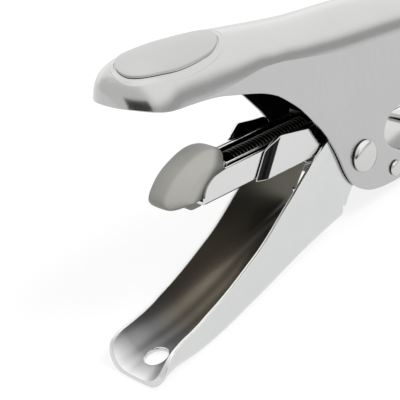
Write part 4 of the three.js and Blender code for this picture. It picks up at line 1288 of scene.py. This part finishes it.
cap = build_cap().obj("end_cap_moulding", "follower", PLASTIC, "grey_plastic", "end_cap", 60.0)


def prism_piece(name, body, mat, slot, outline, y0, y1, r=0.2, angle=34.0):
    s = Sheet()
    ring = resample(round_poly(outline, 0.7, 4), 0.6)
    ins = inset(ring, r)
    rows = [[(x, y0, z) for x, z in ins], [(x + (a - x) * 0.7, y0 + r * 0.3, z + (b - z) * 0.7) for (x, z), (a, b) in zip(ins, ring)], [(x, y0 + r, z) for x, z in ring],
            [(x, y1 - r, z) for x, z in ring], [(x + (a - x) * 0.7, y1 - r * 0.3, z + (b - z) * 0.7) for (x, z), (a, b) in zip(ins, ring)], [(x, y1, z) for x, z in ins]]
    s.grid(rows, wrap=True)
    s.patch([ins], [], lambda x, z: (x, y0, z))
    s.patch([ins], [], lambda x, z: (x, y1, z))
    return s.obj(name, body, mat, slot, None, angle)


prism_piece("end_cap_hook", "follower", HOOK, "grey_plastic", [(-2.0, 4.2), (-1.9, -1.2), (-1.2, -2.4), (0, -2.75), (3.2, -2.75), (4.0, -2.2), (4.0, -1.3), (3.0, -0.6), (1.0, -GAP), (-0.35, -GAP), (-0.35, 4.2)], -1.6, 1.6)
prism_piece("end_cap_tongue", "follower", HOOK, "grey_plastic", [(4, 2.7), (16.2, 2.7), (16.2, 6.4), (4, 6.4)], -4.2, 4.2)

# ------------------------------------------------------------------ CAD pieces kept, with rounded edges
# the rod stop and pusher take the near-black spring material as painted shade
KEEP = {"anvil_arm": (SATIN, 0.25), "anvil_plate": (PLATE, 0.12), "nose_plate": (CHROME, 0.15), "staple_strip": (STAPLE, 0.08),
        "driver_blade": (BLADE, 0.1), "rod_stop": (SPRING, 0.12), "pusher": (SPRING, 0.12)}
for n, (mat, w) in KEEP.items():
    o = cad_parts[n]
    o.data.materials.clear()
    o.data.materials.append(mat)
    b = o.modifiers.new("edge", "BEVEL")
    b.width = w * 0.001
    b.segments = 2
    b.limit_method = "ANGLE"
    b.angle_limit = math.radians(35)
    b.harden_normals = False
for n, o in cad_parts.items():
    if n not in KEEP:
        o.data.materials.clear()
        o.data.materials.append(PLATE)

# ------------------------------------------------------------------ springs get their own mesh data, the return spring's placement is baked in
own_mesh(follower)
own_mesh(lift)
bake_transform(ret)

# ------------------------------------------------------------------ stage, light and camera
SKY, DARK = 1.38, 0.56
PANEL_FROM = (-0.055, -0.009, 0.083)
sc = bpy.context.scene
world = bpy.data.worlds.new("studio")
sc.world = world
world.use_nodes = True
nt = world.node_tree
bg = nt.nodes["Background"]
tc = nt.nodes.new("ShaderNodeTexCoord")


def wmath(op, a, b=None, c=None, clamp=False):
    n = nt.nodes.new("ShaderNodeMath")
    n.operation = op
    n.use_clamp = clamp
    for k, v in enumerate((a, b, c)):
        if v is None:
            continue
        if hasattr(v, "links"):
            nt.links.new(v, n.inputs[k])
        else:
            n.inputs[k].default_value = v
    return n.outputs["Value"]


def smooth(v, lo, hi):
    n = nt.nodes.new("ShaderNodeMapRange")
    n.interpolation_type = "SMOOTHSTEP"
    nt.links.new(v, n.inputs["Value"])
    for k, q in (("From Min", lo), ("From Max", hi)):
        if hasattr(q, "links"):
            nt.links.new(q, n.inputs[k])
        else:
            n.inputs[k].default_value = q
    return n.outputs["Result"]


sep = nt.nodes.new("ShaderNodeSeparateXYZ")
nt.links.new(tc.outputs["Generated"], sep.inputs["Vector"])
X, Y, Z = sep.outputs["X"], sep.outputs["Y"], sep.outputs["Z"]
# how far a direction points to the tool's front right
side = wmath("ADD", wmath("MULTIPLY", X, 0.62), wmath("MULTIPLY", Y, -0.78))
front = smooth(side, 0.05, 0.7)
edge_lo = wmath("ADD", wmath("MULTIPLY", front, -0.02), 0.01)
edge_hi = wmath("ADD", wmath("MULTIPLY", front, 0.14), 0.12)
sky = wmath("SUBTRACT", 1.0, wmath("MULTIPLY", wmath("SUBTRACT", 1.0, smooth(Z, edge_lo, edge_hi)), front))
level = wmath("ADD", wmath("MULTIPLY", sky, SKY - DARK), DARK)
# the back left of the studio is a little darker
back = smooth(wmath("MULTIPLY", X, -1.0), -0.12, 0.4)
level = wmath("MULTIPLY", level, wmath("SUBTRACT", 1.0, wmath("MULTIPLY", back, 0.34)))
comb = nt.nodes.new("ShaderNodeCombineColor")
for ch, k in (("Red", 1.0), ("Green", 1.0), ("Blue", 0.985)):
    nt.links.new(wmath("MULTIPLY", level, k), comb.inputs[ch])
nt.links.new(comb.outputs["Color"], bg.inputs["Color"])
bg.inputs["Strength"].default_value = 1.0

floor_me = bpy.data.meshes.new("floor")
S = 3.0
floor_me.from_pydata([(-S, -S, -0.0002), (S, -S, -0.0002), (S, S, -0.0002), (-S, S, -0.0002)], [], [(0, 1, 2, 3)])
floor = bpy.data.objects.new("floor", floor_me)
sc.collection.objects.link(floor)
fm = bpy.data.materials.new("floor_white")
fm.use_nodes = True
fb = fm.node_tree.nodes["Principled BSDF"]
fb.inputs["Base Color"].default_value = (0.08, 0.08, 0.08, 1)
fb.inputs["Roughness"].default_value = 0.9
fb.inputs["Emission Color"].default_value = (1, 1, 1, 1)
fb.inputs["Emission Strength"].default_value = 0.84
floor.data.materials.append(fm)


def area(name, loc, target, size, power):
    l = bpy.data.lights.new(name, "AREA")
    l.shape = "RECTANGLE"
    l.size, l.size_y = size
    l.energy = power
    o = bpy.data.objects.new(name, l)
    sc.collection.objects.link(o)
    o.location = loc
    d = Vector(target) - Vector(loc)
    o.rotation_euler = d.to_track_quat("-Z", "Y").to_euler()
    return o


area("key", (0.0, 0.0, 1.6), (0, 0, 0.04), (2.4, 2.4), 2.2)
fill = area("fill", (0.45, -1.05, 1.2), (0, 0, 0.04), (0.7, 0.7), 42.0)
fill.visible_glossy = False

def panel(name, away, distance, half_width, half_height, value):
    """A dark card that stands on the studio floor: only the polished metal shows it."""
    d = Vector(away).normalized()
    a = Vector((-d.y, d.x, 0)).normalized()
    o = Vector(PANEL_FROM) + d * distance
    me = bpy.data.meshes.new(name)
    me.from_pydata([tuple(o + a * i * half_width + Vector((0, 0, 1)) * k * half_height) for i, k in ((-1, -1), (1, -1), (1, 1), (-1, 1))], [], [(0, 1, 2, 3)])
    ob = bpy.data.objects.new(name, me)
    sc.collection.objects.link(ob)
    m = bpy.data.materials.new(name)
    m.use_nodes = True
    m.node_tree.nodes["Principled BSDF"].inputs["Base Color"].default_value = (value, value, value, 1)
    m.node_tree.nodes["Principled BSDF"].inputs["Roughness"].default_value = 0.95
    ob.data.materials.append(m)
    ob.visible_camera = False
    ob.visible_diffuse = False
    ob.visible_shadow = False


panel("card_behind_camera", (-0.695, -0.719, 0.17), 0.7, 0.37, 0.125, 0.004)
panel("card_front_right", (0.62, -0.78, -0.035), 0.62, 0.62, 0.06, 0.50)

cam_data = bpy.data.cameras.new("camera")
cam = bpy.data.objects.new("camera", cam_data)
sc.collection.objects.link(cam)
cam_data.sensor_width = 36.0
cam_data.lens = 118.36
cam_data.clip_start = 0.01
cam_data.clip_end = 20.0
R = WD(0.726118, -0.677794, -0.115528).normalized()
B = WD(-0.585237, -0.697458, 0.413584).normalized()
U = B.cross(R).normalized()
R = U.cross(B).normalized()
m = Matrix((R, U, B)).transposed().to_4x4()
m.translation = W(-219.920, -267.286, 156.861)
cam.matrix_world = m
sc.camera = cam
sc.view_settings.view_transform = "Standard"
sc.view_settings.look = "None"
